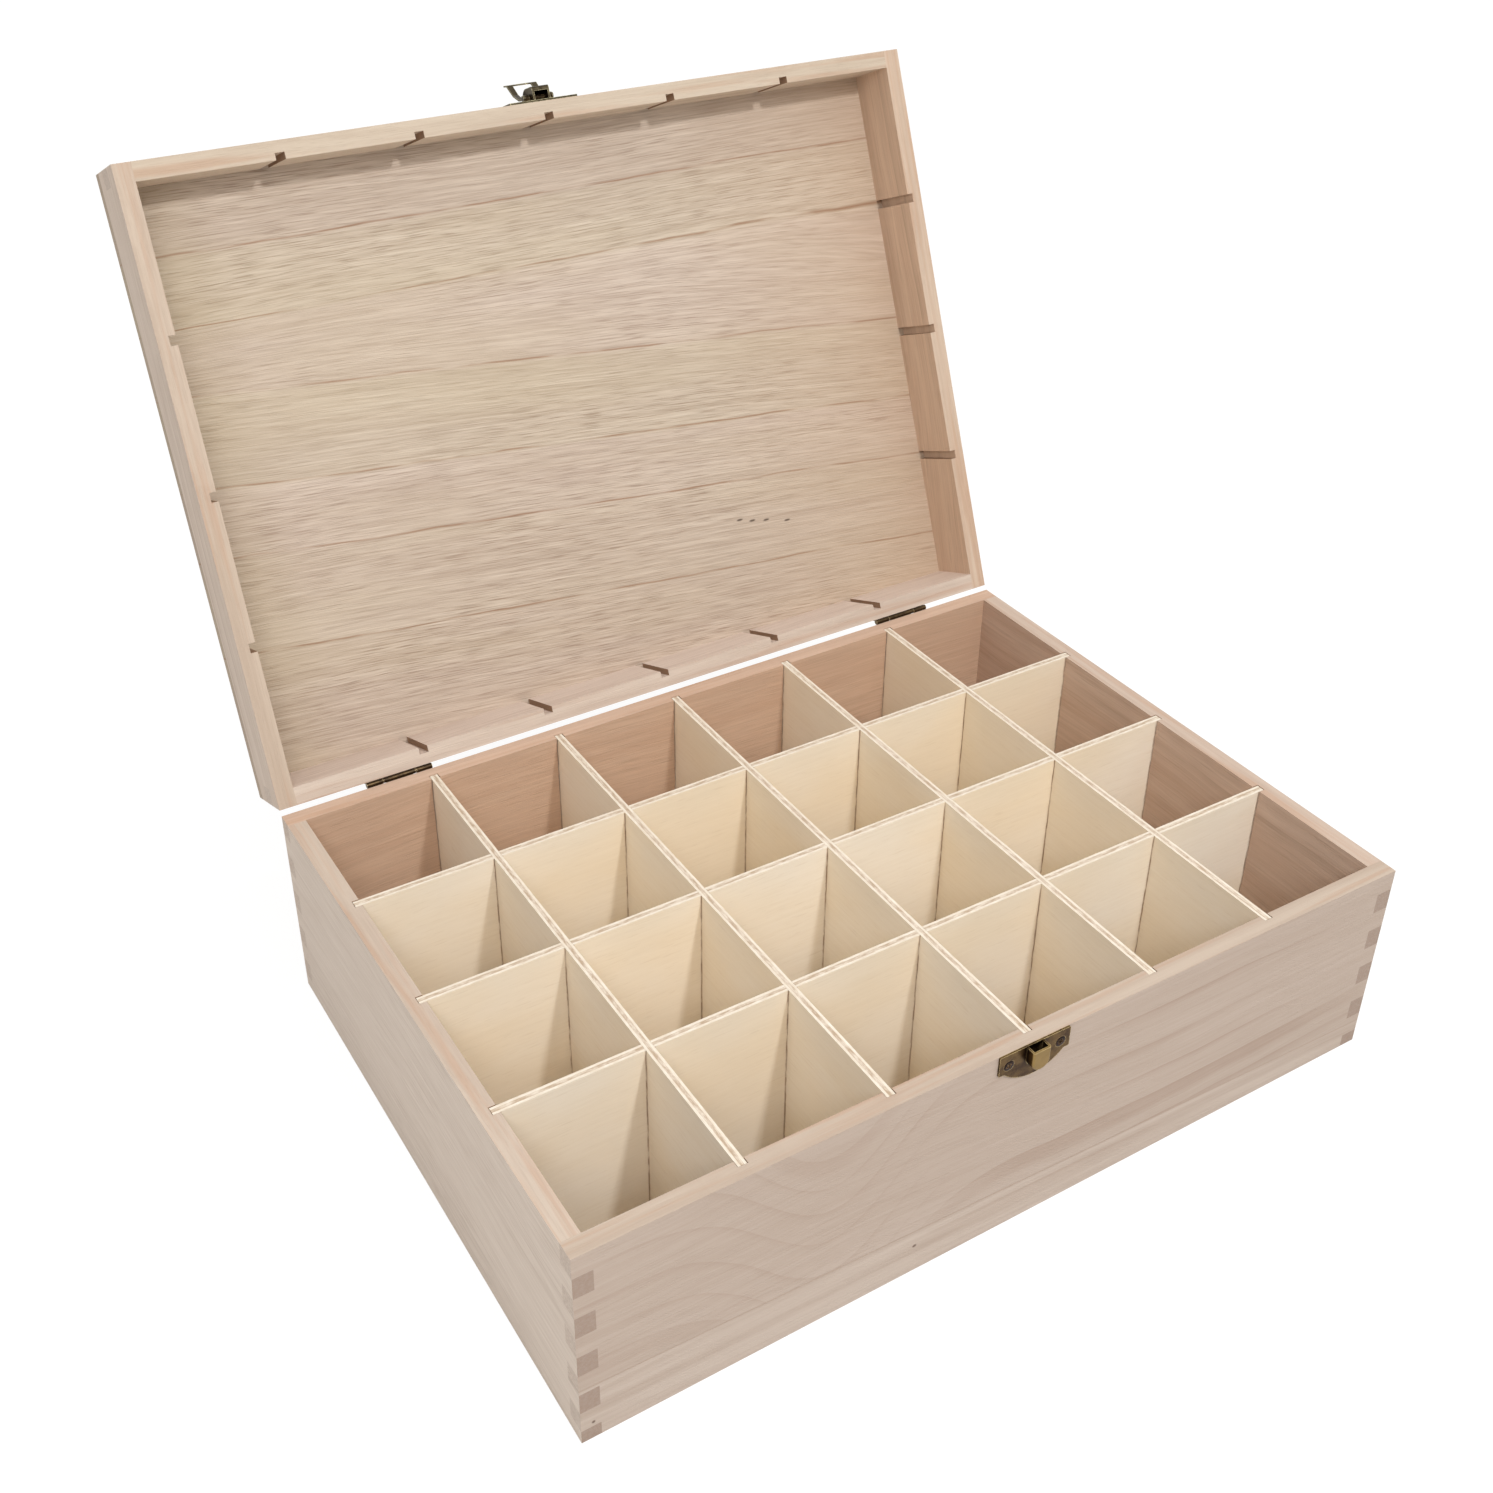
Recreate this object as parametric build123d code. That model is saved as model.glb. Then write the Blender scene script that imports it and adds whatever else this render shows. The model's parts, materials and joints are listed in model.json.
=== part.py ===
from build123d import *
import math
import os

# A wooden stamp box with a hinged lid and a lift-out grid of plywood dividers, in millimetres.
# The origin is the middle of the box's underside. +X runs along the front, +Y to the back, +Z up.

# The box
BOX_LENGTH = 386.0
BOX_DEPTH = 275.0
BASE_HEIGHT = 96.0
WALL = 8.0

# Corner fingers: the sawn parting line took a little off the base's top finger
FINGER = 10.0
SAW_LOSS = 0.3

# The floor board lies in a rebate along the foot of the walls
FLOOR_THICKNESS = 4.0
REBATE_DEPTH = 4.0
BOARD_CLEARANCE = 0.1

# The lid
LID_WALL_HEIGHT = 28.0
LID_BOARD_THICKNESS = 8.0
LID_EDGE_RADIUS = 3.0
CLOSED_GAP = 0.3
OPEN_ANGLE = 112.0

# The dividers and the slots that hold their ends
COLUMNS = 6
ROWS = 4
PLYWOOD = 3.6
SLOT_DEPTH = 3.0
SLOT_SIDE_CLEARANCE = 0.3
SLOT_END_CLEARANCE = 0.3
CROSSING_CLEARANCE = 0.1
DIVIDER_DROP = 0.2

# The two hinges on the back
HINGE_INSET = 55.0
HINGE_LENGTH = 31.0
MIDDLE_KNUCKLE = 15.2
KNUCKLE_GAP = 0.3
BARREL_RADIUS = 1.2
HINGE_PIN_RADIUS = 0.55
PIN_CLEARANCE = 0.05
AXIS_SETBACK = 1.4
AXIS_RISE = 0.6
LEAF_THICKNESS = 0.8
LEAF_REACH = 11.0
LEAF_CLEARANCE = 0.3
WEB_INSET = 0.3
LEAF_CORNER_RADIUS = 1.5
HINGE_SCREW_SPACING = 20.0
HINGE_SCREW_REACH = 6.8
STOP_REACH = 5.0
STOP_SIDE_INSET = 1.2
STOP_CLEARANCE = 0.05

# The latch on the lid and the catch on the base: two plates of one outline, mirrored at the rim
PLATE_OFFSET = -0.9
PLATE_THICKNESS = 0.9
PLATE_WIDTH = 33.6
PLATE_END_HEIGHT = 9.5
PLATE_BOW_WIDTH = 28.4
PLATE_BOW_HEIGHT = 15.5
PLATE_CORNER_RADIUS = 0.6
PLATE_SCREW_SPACING = 24.6
PLATE_SCREW_HEIGHT = 5.6

# The hook on the catch plate: a pocket with a round foot, open at the top
HOOK_WIDTH = 8.4
HOOK_LIP_DROP = 0.7
HOOK_FOOT_DROP = 10.4
HOOK_STANDOFF = 5.0
HOOK_EDGE_RADIUS = 0.9

# The hood on the latch plate, open towards the rim under a turned-down lip
HOOD_WIDTH = 8.4
HOOD_RIM_DISTANCE = 1.5
HOOD_LENGTH = 12.3
HOOD_FLAT = 7.0
HOOD_STANDOFF = 7.0
HOOD_NOSE_RADIUS = 1.2
HOOD_LIP = 1.2

# The pin through the hood's cheeks, and the hasp that swings on its ends
LATCH_PIN_RISE = 6.4
LATCH_PIN_STANDOFF = 2.7
LATCH_PIN_RADIUS = 0.8
LATCH_PIN_HEAD_RADIUS = 1.3
LATCH_PIN_HEAD = 0.5
HASP_SIDE_CLEARANCE = 0.4
HASP_BAR = 2.3
HASP_THICKNESS = 0.7
HASP_EYE_RADIUS = 1.5
HASP_CROSSBAR = 1.7
HASP_SPREAD = 0.8
HASP_TIP_RADIUS = 0.8
HASP_WINDOW_RADIUS = 2.0
HASP_STOP_CLEARANCE = 0.1
HASP_HEEL_LENGTH = 1.6

# The hasp's straight runs from the pin to the tip, and how far each leans off the lid at rest
HASP_RUNS = [5.2, 5.5, 6.9, 3.2]
HASP_LEANS = [0.0, 30.0, 48.0, 8.0]

# The screws: their threads are left out, and their shanks have flat sides to keep them light
SHANK_SIDES = 8
SCREW_HOLE_CLEARANCE = 0.05

# The hinge screws' flat heads lie on the leaves
LEAF_HOLE_CLEARANCE = 0.1
HINGE_SCREW_HEAD_RADIUS = 1.7
HINGE_SCREW_HEAD = 0.6
HINGE_SCREW_RADIUS = 0.9
HINGE_SCREW_LENGTH = 6.5

# The plate screws are countersunk flush
SINK_CLEARANCE = 0.1
PLATE_SCREW_HEAD_RADIUS = 2.4
PLATE_SCREW_RADIUS = 1.1
PLATE_SCREW_LENGTH = 6.5

# How far a cut runs past the wood or metal that it goes through
OVERRUN = 1.0

# Places worked out from the sizes above
HALF_LENGTH = BOX_LENGTH / 2
HALF_DEPTH = BOX_DEPTH / 2
HINGE_CENTRE = HALF_LENGTH - HINGE_INSET
INNER_LENGTH = BOX_LENGTH - 2 * WALL
INNER_DEPTH = BOX_DEPTH - 2 * WALL
COLUMN_PITCH = (INNER_LENGTH + PLYWOOD) / COLUMNS
ROW_PITCH = (INNER_DEPTH + PLYWOOD) / ROWS
DIVIDER_XS = [COLUMN_PITCH * (number - COLUMNS / 2) for number in range(1, COLUMNS)]
DIVIDER_YS = [ROW_PITCH * (number - ROWS / 2) for number in range(1, ROWS)]
DIVIDER_TOP = BASE_HEIGHT - DIVIDER_DROP
DIVIDER_HEIGHT = DIVIDER_TOP - FLOOR_THICKNESS
SLOT_WIDTH = PLYWOOD + 2 * SLOT_SIDE_CLEARANCE
LID_RIM = BASE_HEIGHT + CLOSED_GAP
LID_FRAME_TOP = LID_RIM + LID_WALL_HEIGHT
LID_TOP = LID_FRAME_TOP + LID_BOARD_THICKNESS
HINGE_AXIS_Y = HALF_DEPTH + AXIS_SETBACK
HINGE_AXIS_Z = BASE_HEIGHT + AXIS_RISE
HINGE_AXIS = Axis((0, HINGE_AXIS_Y, HINGE_AXIS_Z), (1, 0, 0))
LATCH_PIN_Y = -HALF_DEPTH - LATCH_PIN_STANDOFF
LATCH_PIN_Z = LID_RIM + LATCH_PIN_RISE
HASP_INNER_WIDTH = HOOD_WIDTH + 2 * HASP_SIDE_CLEARANCE
HASP_WIDTH = HASP_INNER_WIDTH + 2 * HASP_BAR


def block(low, high):
    """A block from its lowest corner to its highest corner."""
    size = [top - bottom for bottom, top in zip(low, high)]
    middle = [(top + bottom) / 2 for bottom, top in zip(low, high)]
    return Pos(*middle) * Box(*size)


def rod(radius, start, end):
    """A round rod between two points that share all but one coordinate."""
    path = Vector(*end) - Vector(*start)
    return Plane(origin=start, z_dir=path) * Cylinder(
        radius, path.length, align=(Align.CENTER, Align.CENTER, Align.MIN)
    )


def finger_bands(rim, far_edge, first_finger):
    """Height ranges of the fingers down a corner, counted from the rim to the far edge."""
    reach = abs(far_edge - rim)
    toward = (far_edge - rim) / reach
    marks = [0, first_finger]
    while marks[-1] + FINGER < reach:
        marks.append(marks[-1] + FINGER)
    marks.append(reach)
    return [(rim + toward * near, rim + toward * far) for near, far in zip(marks, marks[1:])]


def wall_board(length, bands, owns_rim):
    """A wall lying along X with its outer side at Y = -WALL and its inner side at Y = 0.

    Its ends step in by the wall's thickness wherever the neighbouring wall's fingers come through."""
    right_end = []
    for number, (near, far) in enumerate(bands):
        is_finger = (number % 2 == 0) == owns_rim
        reach = length / 2 if is_finger else length / 2 - WALL
        right_end += [(reach, near), (reach, far)]
    left_end = [(-x, z) for x, z in reversed(right_end)]
    face = make_face(Polyline(*right_end, *left_end, close=True))
    return extrude(Plane.XZ * face, WALL)


def frame_of_walls(bands, front_owns_rim):
    """The four walls of a frame, in their places: front, back, left and right."""
    along = wall_board(BOX_LENGTH, bands, front_owns_rim)
    across = wall_board(BOX_DEPTH, bands, not front_owns_rim)
    return {
        "front": Pos(0, WALL - HALF_DEPTH, 0) * along,
        "back": Pos(0, HALF_DEPTH - WALL, 0) * Rot(0, 0, 180) * along,
        "left": Pos(WALL - HALF_LENGTH, 0, 0) * Rot(0, 0, -90) * across,
        "right": Pos(HALF_LENGTH - WALL, 0, 0) * Rot(0, 0, 90) * across,
    }


def slot_cutters(low, high):
    """Bars that cut the divider slots into all four walls between two heights."""
    reach_x = INNER_LENGTH / 2 + SLOT_DEPTH
    reach_y = INNER_DEPTH / 2 + SLOT_DEPTH
    half = SLOT_WIDTH / 2
    across = [block((x - half, -reach_y, low), (x + half, reach_y, high)) for x in DIVIDER_XS]
    along = [block((-reach_x, y - half, low), (reach_x, y + half, high)) for y in DIVIDER_YS]
    return across + along


def open_lid(shape):
    """A piece of the closed lid, swung back to the angle at which the lid stands open."""
    return shape.rotate(HINGE_AXIS, -OPEN_ANGLE)


def screw_plane(place, direction):
    """A plane on the wood's face at a screw's place, with +Z out of the wood along the screw."""
    return Plane(origin=place, z_dir=Vector(*direction) * -1)


def shank(radius, bottom, top):
    """A screw's shank along +Z between two heights."""
    return Pos(0, 0, bottom) * extrude(RegularPolygon(radius, SHANK_SIDES), top - bottom)


def taper(start_radius, end_radius, bottom, top):
    """A round taper along +Z between two heights."""
    cone = Cone(start_radius, end_radius, top - bottom, align=(Align.CENTER, Align.CENTER, Align.MIN))
    return Pos(0, 0, bottom) * cone


def pilot_holes(places, direction, radius, length):
    """Holes in the wood for the shanks of some screws."""
    tool = shank(radius + SCREW_HOLE_CLEARANCE, -length - SCREW_HOLE_CLEARANCE, OVERRUN)
    return [screw_plane(place, direction) * tool for place in places]


# Screw places: each is the point on the wood's face where the screw goes in
def hinge_screw_places(height):
    spread = HINGE_SCREW_SPACING / 2
    centres = (-HINGE_CENTRE, HINGE_CENTRE)
    return [(centre + side * spread, HALF_DEPTH, height) for centre in centres for side in (-1, 1)]


def plate_screw_places(height):
    spread = PLATE_SCREW_SPACING / 2
    return [(PLATE_OFFSET + side * spread, -HALF_DEPTH, height) for side in (-1, 1)]


INTO_BACK = (0, -1, 0)
INTO_FRONT = (0, 1, 0)
BASE_HINGE_SCREWS = hinge_screw_places(HINGE_AXIS_Z - HINGE_SCREW_REACH)
LID_HINGE_SCREWS = hinge_screw_places(HINGE_AXIS_Z + HINGE_SCREW_REACH)
CATCH_SCREWS = plate_screw_places(BASE_HEIGHT - PLATE_SCREW_HEIGHT)
LATCH_SCREWS = plate_screw_places(LID_RIM + PLATE_SCREW_HEIGHT)


def hinge_holes(places):
    """Pilot holes in the wood for the screws of both hinges."""
    return pilot_holes(places, INTO_BACK, HINGE_SCREW_RADIUS, HINGE_SCREW_LENGTH)


def plate_holes(places):
    """Pilot holes in the wood for the screws of the latch or catch plate."""
    return pilot_holes(places, INTO_FRONT, PLATE_SCREW_RADIUS, PLATE_SCREW_LENGTH)


def base_pieces():
    """The base's four walls and its floor board."""
    bands = finger_bands(BASE_HEIGHT, 0, FINGER - SAW_LOSS)
    walls = frame_of_walls(bands, front_owns_rim=True)
    cutters = slot_cutters(FLOOR_THICKNESS, BASE_HEIGHT + OVERRUN)
    reach_x = INNER_LENGTH / 2 + REBATE_DEPTH
    reach_y = INNER_DEPTH / 2 + REBATE_DEPTH
    rebate = block((-reach_x, -reach_y, -OVERRUN), (reach_x, reach_y, FLOOR_THICKNESS))
    pieces = {"base_" + side: wall - cutters - rebate for side, wall in walls.items()}
    pieces["base_front"] -= plate_holes(CATCH_SCREWS)
    pieces["base_back"] -= hinge_holes(BASE_HINGE_SCREWS)
    pieces["base_floor"] = block(
        (BOARD_CLEARANCE - reach_x, BOARD_CLEARANCE - reach_y, 0),
        (reach_x - BOARD_CLEARANCE, reach_y - BOARD_CLEARANCE, FLOOR_THICKNESS),
    )
    return pieces


def lid_pieces():
    """The lid's four walls and its top board, closed."""
    bands = finger_bands(LID_RIM, LID_FRAME_TOP, FINGER)
    walls = frame_of_walls(bands, front_owns_rim=False)
    cutters = slot_cutters(LID_RIM - OVERRUN, LID_FRAME_TOP + OVERRUN)
    pieces = {"lid_" + side: wall - cutters for side, wall in walls.items()}
    pieces["lid_front"] -= plate_holes(LATCH_SCREWS)
    pieces["lid_back"] -= hinge_holes(LID_HINGE_SCREWS)
    board = block((-HALF_LENGTH, -HALF_DEPTH, LID_FRAME_TOP), (HALF_LENGTH, HALF_DEPTH, LID_TOP))
    top_edges = board.faces().sort_by(Axis.Z)[-1].edges()
    pieces["lid_top"] = fillet(top_edges, LID_EDGE_RADIUS)
    return pieces


def divider_pieces():
    """The egg-crate grid: long dividers notched from the top, short ones from below."""
    half_notch = PLYWOOD / 2 + CROSSING_CLEARANCE
    crossing = FLOOR_THICKNESS + DIVIDER_HEIGHT / 2
    half_ply = PLYWOOD / 2
    reach_x = INNER_LENGTH / 2 + SLOT_DEPTH - SLOT_END_CLEARANCE
    reach_y = INNER_DEPTH / 2 + SLOT_DEPTH - SLOT_END_CLEARANCE
    over_top = DIVIDER_TOP + OVERRUN
    under_foot = FLOOR_THICKNESS - OVERRUN
    pieces = {}
    for number, x in enumerate(DIVIDER_XS, 1):
        board = block((x - half_ply, -reach_y, FLOOR_THICKNESS), (x + half_ply, reach_y, DIVIDER_TOP))
        for y in DIVIDER_YS:
            low = (x - half_ply - OVERRUN, y - half_notch, under_foot)
            high = (x + half_ply + OVERRUN, y + half_notch, crossing + CROSSING_CLEARANCE)
            board -= block(low, high)
        pieces[f"divider_short_{number}"] = board
    for number, y in enumerate(DIVIDER_YS, 1):
        board = block((-reach_x, y - half_ply, FLOOR_THICKNESS), (reach_x, y + half_ply, DIVIDER_TOP))
        for x in DIVIDER_XS:
            low = (x - half_notch, y - half_ply - OVERRUN, crossing - CROSSING_CLEARANCE)
            high = (x + half_notch, y + half_ply + OVERRUN, over_top)
            board -= block(low, high)
        pieces[f"divider_long_{number}"] = board
    return pieces


def hinge_leaf(centre, toward, knuckles, screw_places):
    """One leaf of a hinge, closed: a plate on the back wall and the knuckles that it is rolled into.

    toward is 1 for the lid's leaf, which goes up, and -1 for the base's leaf, which goes down."""
    plate_start = BARREL_RADIUS + LEAF_CLEARANCE
    plate_height = LEAF_REACH - plate_start
    middle = HINGE_AXIS_Z + toward * (plate_start + plate_height / 2)
    face = Rectangle(HINGE_LENGTH, plate_height)
    far_corners = face.vertices().sort_by(Axis.Y)
    far_corners = far_corners[-2:] if toward > 0 else far_corners[:2]
    face = fillet(far_corners, LEAF_CORNER_RADIUS)
    leaf = Pos(centre, HALF_DEPTH + LEAF_THICKNESS, middle) * extrude(Plane.XZ * face, LEAF_THICKNESS)
    for start, end in knuckles:
        web_ends = sorted((HINGE_AXIS_Z, HINGE_AXIS_Z + toward * (plate_start + LEAF_THICKNESS)))
        leaf += block(
            (centre + start, HALF_DEPTH + WEB_INSET, web_ends[0]),
            (centre + end, HALF_DEPTH + LEAF_THICKNESS, web_ends[1]),
        )
        leaf += hinge_rod(BARREL_RADIUS, centre + start, centre + end)
    bore_reach = HINGE_LENGTH / 2 + OVERRUN
    leaf -= hinge_rod(HINGE_PIN_RADIUS + PIN_CLEARANCE, centre - bore_reach, centre + bore_reach)
    hole = Cylinder(HINGE_SCREW_RADIUS + LEAF_HOLE_CLEARANCE, 2 * (LEAF_THICKNESS + OVERRUN))
    return leaf - [screw_plane(place, INTO_BACK) * hole for place in screw_places]


def hinge_rod(radius, start_x, end_x):
    """A round rod on the hinge's axis between two places along X."""
    return rod(radius, (start_x, HINGE_AXIS_Y, HINGE_AXIS_Z), (end_x, HINGE_AXIS_Y, HINGE_AXIS_Z))


def stop_tongue(centre):
    """The tongue on the lid's knuckle that meets the base's leaf and holds the lid at its open angle."""
    half = MIDDLE_KNUCKLE / 2 - STOP_SIDE_INSET
    inner_y = HALF_DEPTH + LEAF_THICKNESS + STOP_CLEARANCE
    top = HINGE_AXIS_Z - (BARREL_RADIUS + HINGE_PIN_RADIUS + PIN_CLEARANCE) / 2
    return block(
        (centre - half, inner_y, HINGE_AXIS_Z - STOP_REACH),
        (centre + half, inner_y + LEAF_THICKNESS, top),
    )


def hinge_pieces(name, centre):
    """A hinge: the base's leaf with the outer knuckles, the lid's leaf with the middle one, and the pin."""
    half = HINGE_LENGTH / 2
    inner = MIDDLE_KNUCKLE / 2
    outer = inner + KNUCKLE_GAP
    base_leaf = hinge_leaf(centre, -1, [(-half, -outer), (outer, half)], BASE_HINGE_SCREWS)
    lid_leaf = hinge_leaf(centre, 1, [(-inner, inner)], LID_HINGE_SCREWS)
    return {
        f"{name}_base_leaf": base_leaf,
        f"{name}_lid_leaf": open_lid(lid_leaf) + stop_tongue(centre),
        f"{name}_pin": hinge_rod(HINGE_PIN_RADIUS, centre - half, centre + half),
    }


def plate_outline():
    """The outline of the latch and catch plates below the rim: square ends and a bowed middle."""
    half = PLATE_WIDTH / 2
    bow = PLATE_BOW_WIDTH / 2
    edges = Polyline((-bow, -PLATE_END_HEIGHT), (-half, -PLATE_END_HEIGHT), (-half, 0), (half, 0),
                     (half, -PLATE_END_HEIGHT), (bow, -PLATE_END_HEIGHT))
    curve = ThreePointArc((bow, -PLATE_END_HEIGHT), (0, -PLATE_BOW_HEIGHT), (-bow, -PLATE_END_HEIGHT))
    face = make_face(edges + curve)
    return fillet(face.vertices(), PLATE_CORNER_RADIUS)


def pocket(half, drop, rise, standoff):
    """A block on the plate's face with upright sides and a round foot, out to a distance off the wood.

    Heights count from the base's rim: drop down to the foot and rise up to the top."""
    shoulder = half - drop
    sides = Polyline((-half, shoulder), (-half, rise), (half, rise), (half, shoulder))
    foot = ThreePointArc((half, shoulder), (0, -drop), (-half, shoulder))
    face = Pos(0, -PLATE_THICKNESS, 0) * (Plane.XZ * make_face(sides + foot))
    return extrude(face, standoff - PLATE_THICKNESS)


def catch_plate():
    """The catch on the base's front: a plate that carries a pocket for a hook, open at the top."""
    plate = extrude(Plane.XZ * plate_outline(), PLATE_THICKNESS)
    half = HOOK_WIDTH / 2
    inset = PLATE_THICKNESS
    hook = pocket(half, HOOK_FOOT_DROP, -HOOK_LIP_DROP, HOOK_STANDOFF)
    front_edges = hook.faces().sort_by(Axis.Y)[0].edges().sort_by(Axis.Z)[:-1]
    hook = fillet(front_edges, HOOK_EDGE_RADIUS)
    hollow = pocket(half - inset, HOOK_FOOT_DROP - inset, OVERRUN, HOOK_STANDOFF - inset)
    plate = Pos(PLATE_OFFSET, -HALF_DEPTH, BASE_HEIGHT) * (plate + (hook - hollow))
    return plate - plate_sinks(CATCH_SCREWS)


def plate_sinks(places):
    """Tapered holes through the latch or catch plate, a little wider than the screws' heads."""
    slope = (PLATE_SCREW_HEAD_RADIUS - PLATE_SCREW_RADIUS) / PLATE_THICKNESS
    half = PLATE_THICKNESS / 2
    narrow = PLATE_SCREW_RADIUS + SINK_CLEARANCE - slope * half
    wide = PLATE_SCREW_HEAD_RADIUS + SINK_CLEARANCE + slope * half
    tool = taper(narrow, wide, -half, PLATE_THICKNESS + half)
    return [screw_plane(place, INTO_FRONT) * tool for place in places]


def hood_side(inset):
    """Side view of the hood, seen along X: upright at the rim, flat on top, then rounded down.

    inset moves its outer line in by the sheet's thickness, for the hollow under it."""
    out = inset - HOOD_STANDOFF
    near = HOOD_RIM_DISTANCE
    flat_end = near + HOOD_FLAT
    far = near + HOOD_LENGTH - inset
    lines = Polyline((-PLATE_THICKNESS, far), (-PLATE_THICKNESS, near), (out, near), (out, flat_end))
    bend = EllipticalCenterArc(
        (-PLATE_THICKNESS, flat_end), abs(out) - PLATE_THICKNESS, far - flat_end, start_angle=90, arc_size=90
    )
    return make_face(lines + bend)


def latch_plate():
    """The latch plate on the lid's front, closed: the plate, its hood and the pin's holes."""
    plate = extrude(Plane.XZ * plate_outline().mirror(Plane.XZ), PLATE_THICKNESS)
    hood = extrude(Plane.YZ * hood_side(0), HOOD_WIDTH / 2, both=True)
    nose = hood.edges().filter_by(Axis.X).group_by(Axis.Z)[0].sort_by(Axis.Y)[0]
    hood = fillet(nose, HOOD_NOSE_RADIUS)
    inner_half = HOOD_WIDTH / 2 - PLATE_THICKNESS
    hollow = extrude(Plane.YZ * hood_side(PLATE_THICKNESS), inner_half, both=True)
    # The turned-down lip hangs across the mouth of the hood
    lip_foot = PLATE_THICKNESS + HOOD_LIP - HOOD_STANDOFF
    lip = block(
        (-inner_half, PLATE_THICKNESS - HOOD_STANDOFF, HOOD_RIM_DISTANCE),
        (inner_half, lip_foot, HOOD_RIM_DISTANCE + PLATE_THICKNESS),
    )
    plate = Pos(PLATE_OFFSET, -HALF_DEPTH, LID_RIM) * (plate + (hood - (hollow - lip)))
    reach = HOOD_WIDTH / 2 + OVERRUN
    bore = latch_rod(LATCH_PIN_RADIUS + PIN_CLEARANCE, -reach, reach)
    return plate - plate_sinks(LATCH_SCREWS) - bore


def latch_rod(radius, start, end):
    """A round rod on the latch pin's axis between two distances from the plate's middle."""
    return rod(radius, (PLATE_OFFSET + start, LATCH_PIN_Y, LATCH_PIN_Z),
               (PLATE_OFFSET + end, LATCH_PIN_Y, LATCH_PIN_Z))


def latch_pin():
    """The pin through the hood and the hasp's eyes, riveted over at both ends."""
    half = HASP_WIDTH / 2 + PIN_CLEARANCE
    pin = latch_rod(LATCH_PIN_RADIUS, -half, half)
    for side in (-1, 1):
        pin += latch_rod(LATCH_PIN_HEAD_RADIUS, side * half, side * (half + LATCH_PIN_HEAD))
    return pin


def hasp_line(offset):
    """Points of the hasp's side view along its runs, moved off its middle line.

    They are (out from the pin, up from the pin) on the closed lid."""
    points = []
    reach = Vector(0, 0)
    for number, (run, lean) in enumerate(zip(HASP_RUNS, HASP_LEANS)):
        previous = HASP_LEANS[number - 1] if number else lean
        middle = math.radians((lean + previous) / 2)
        spread = offset / math.cos(math.radians((lean - previous) / 2))
        points.append(reach + Vector(math.cos(middle), -math.sin(middle)) * spread)
        reach += Vector(math.sin(math.radians(lean)), math.cos(math.radians(lean))) * run
    last = math.radians(HASP_LEANS[-1])
    points.append(reach + Vector(math.cos(last), -math.sin(last)) * offset)
    return points


def hasp():
    """The hasp, leaning off the latch plate at rest, on the closed lid.

    It is a loop of sheet metal: two bars that straddle the hood and later the hook, bent out and
    back, and a crossbar that comes down under the hook's foot."""
    half_sheet = HASP_THICKNESS / 2
    outline = hasp_line(half_sheet) + hasp_line(-half_sheet)[::-1]
    strip = make_face(Polyline(*[(-point.X, point.Y) for point in outline], close=True))
    # The heel behind the eyes meets the latch plate when the hasp leans back
    heel_foot = LATCH_PIN_STANDOFF - PLATE_THICKNESS - HASP_STOP_CLEARANCE
    heel = make_face(Polyline((0, 0), (heel_foot, 0), (heel_foot, HASP_HEEL_LENGTH),
                              (0, HASP_HEEL_LENGTH), close=True))
    side = strip + Circle(HASP_EYE_RADIUS) + heel
    body = extrude(Plane.YZ * side, HASP_WIDTH / 2 + HASP_SPREAD, both=True)
    half = HASP_WIDTH / 2
    tip = half + HASP_SPREAD
    inner = HASP_INNER_WIDTH / 2
    height = hasp_line(0)[-1].Y
    foot = -HASP_EYE_RADIUS - OVERRUN
    flare_start = HASP_EYE_RADIUS
    top = height + half_sheet
    front = make_face(Polyline((-half, foot), (-half, flare_start), (-tip, top), (tip, top),
                               (half, flare_start), (half, foot), close=True))
    front = fillet(front.vertices().sort_by(Axis.Y)[-2:], HASP_TIP_RADIUS)
    window_top = height - HASP_CROSSBAR
    window = make_face(Polyline((-inner, foot - OVERRUN), (inner, foot - OVERRUN), (inner, window_top),
                                (-inner, window_top), close=True))
    window = fillet(window.vertices().sort_by(Axis.Y)[-2:], HASP_WINDOW_RADIUS)
    reach = sum(HASP_RUNS)
    loop = body & extrude(Plane.XZ * (front - window), reach, both=True)
    loop -= Rot(0, 90, 0) * Cylinder(LATCH_PIN_RADIUS + PIN_CLEARANCE, HASP_WIDTH + 2 * OVERRUN)
    return Pos(PLATE_OFFSET, LATCH_PIN_Y, LATCH_PIN_Z) * loop


def hinge_screw():
    """A screw whose flat head lies on a hinge leaf."""
    head_top = LEAF_THICKNESS + HINGE_SCREW_HEAD
    head = Cylinder(HINGE_SCREW_HEAD_RADIUS, HINGE_SCREW_HEAD, align=(Align.CENTER, Align.CENTER, Align.MAX))
    return Pos(0, 0, head_top) * head + shank(HINGE_SCREW_RADIUS, -HINGE_SCREW_LENGTH, LEAF_THICKNESS)


def plate_screw():
    """A screw whose countersunk head lies flush in the latch or catch plate."""
    head = taper(PLATE_SCREW_RADIUS, PLATE_SCREW_HEAD_RADIUS, 0, PLATE_THICKNESS)
    return head + shank(PLATE_SCREW_RADIUS, -PLATE_SCREW_LENGTH, 0)


def screw_groups():
    """The four groups of screws, each group closed in its own place."""

    def group(screw, places, direction):
        return Compound(children=[screw_plane(place, direction) * screw for place in places])

    return {
        "hinge_screws_base": group(hinge_screw(), BASE_HINGE_SCREWS, INTO_BACK),
        "hinge_screws_lid": open_lid(group(hinge_screw(), LID_HINGE_SCREWS, INTO_BACK)),
        "catch_screws": group(plate_screw(), CATCH_SCREWS, INTO_FRONT),
        "latch_screws": open_lid(group(plate_screw(), LATCH_SCREWS, INTO_FRONT)),
    }


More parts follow.
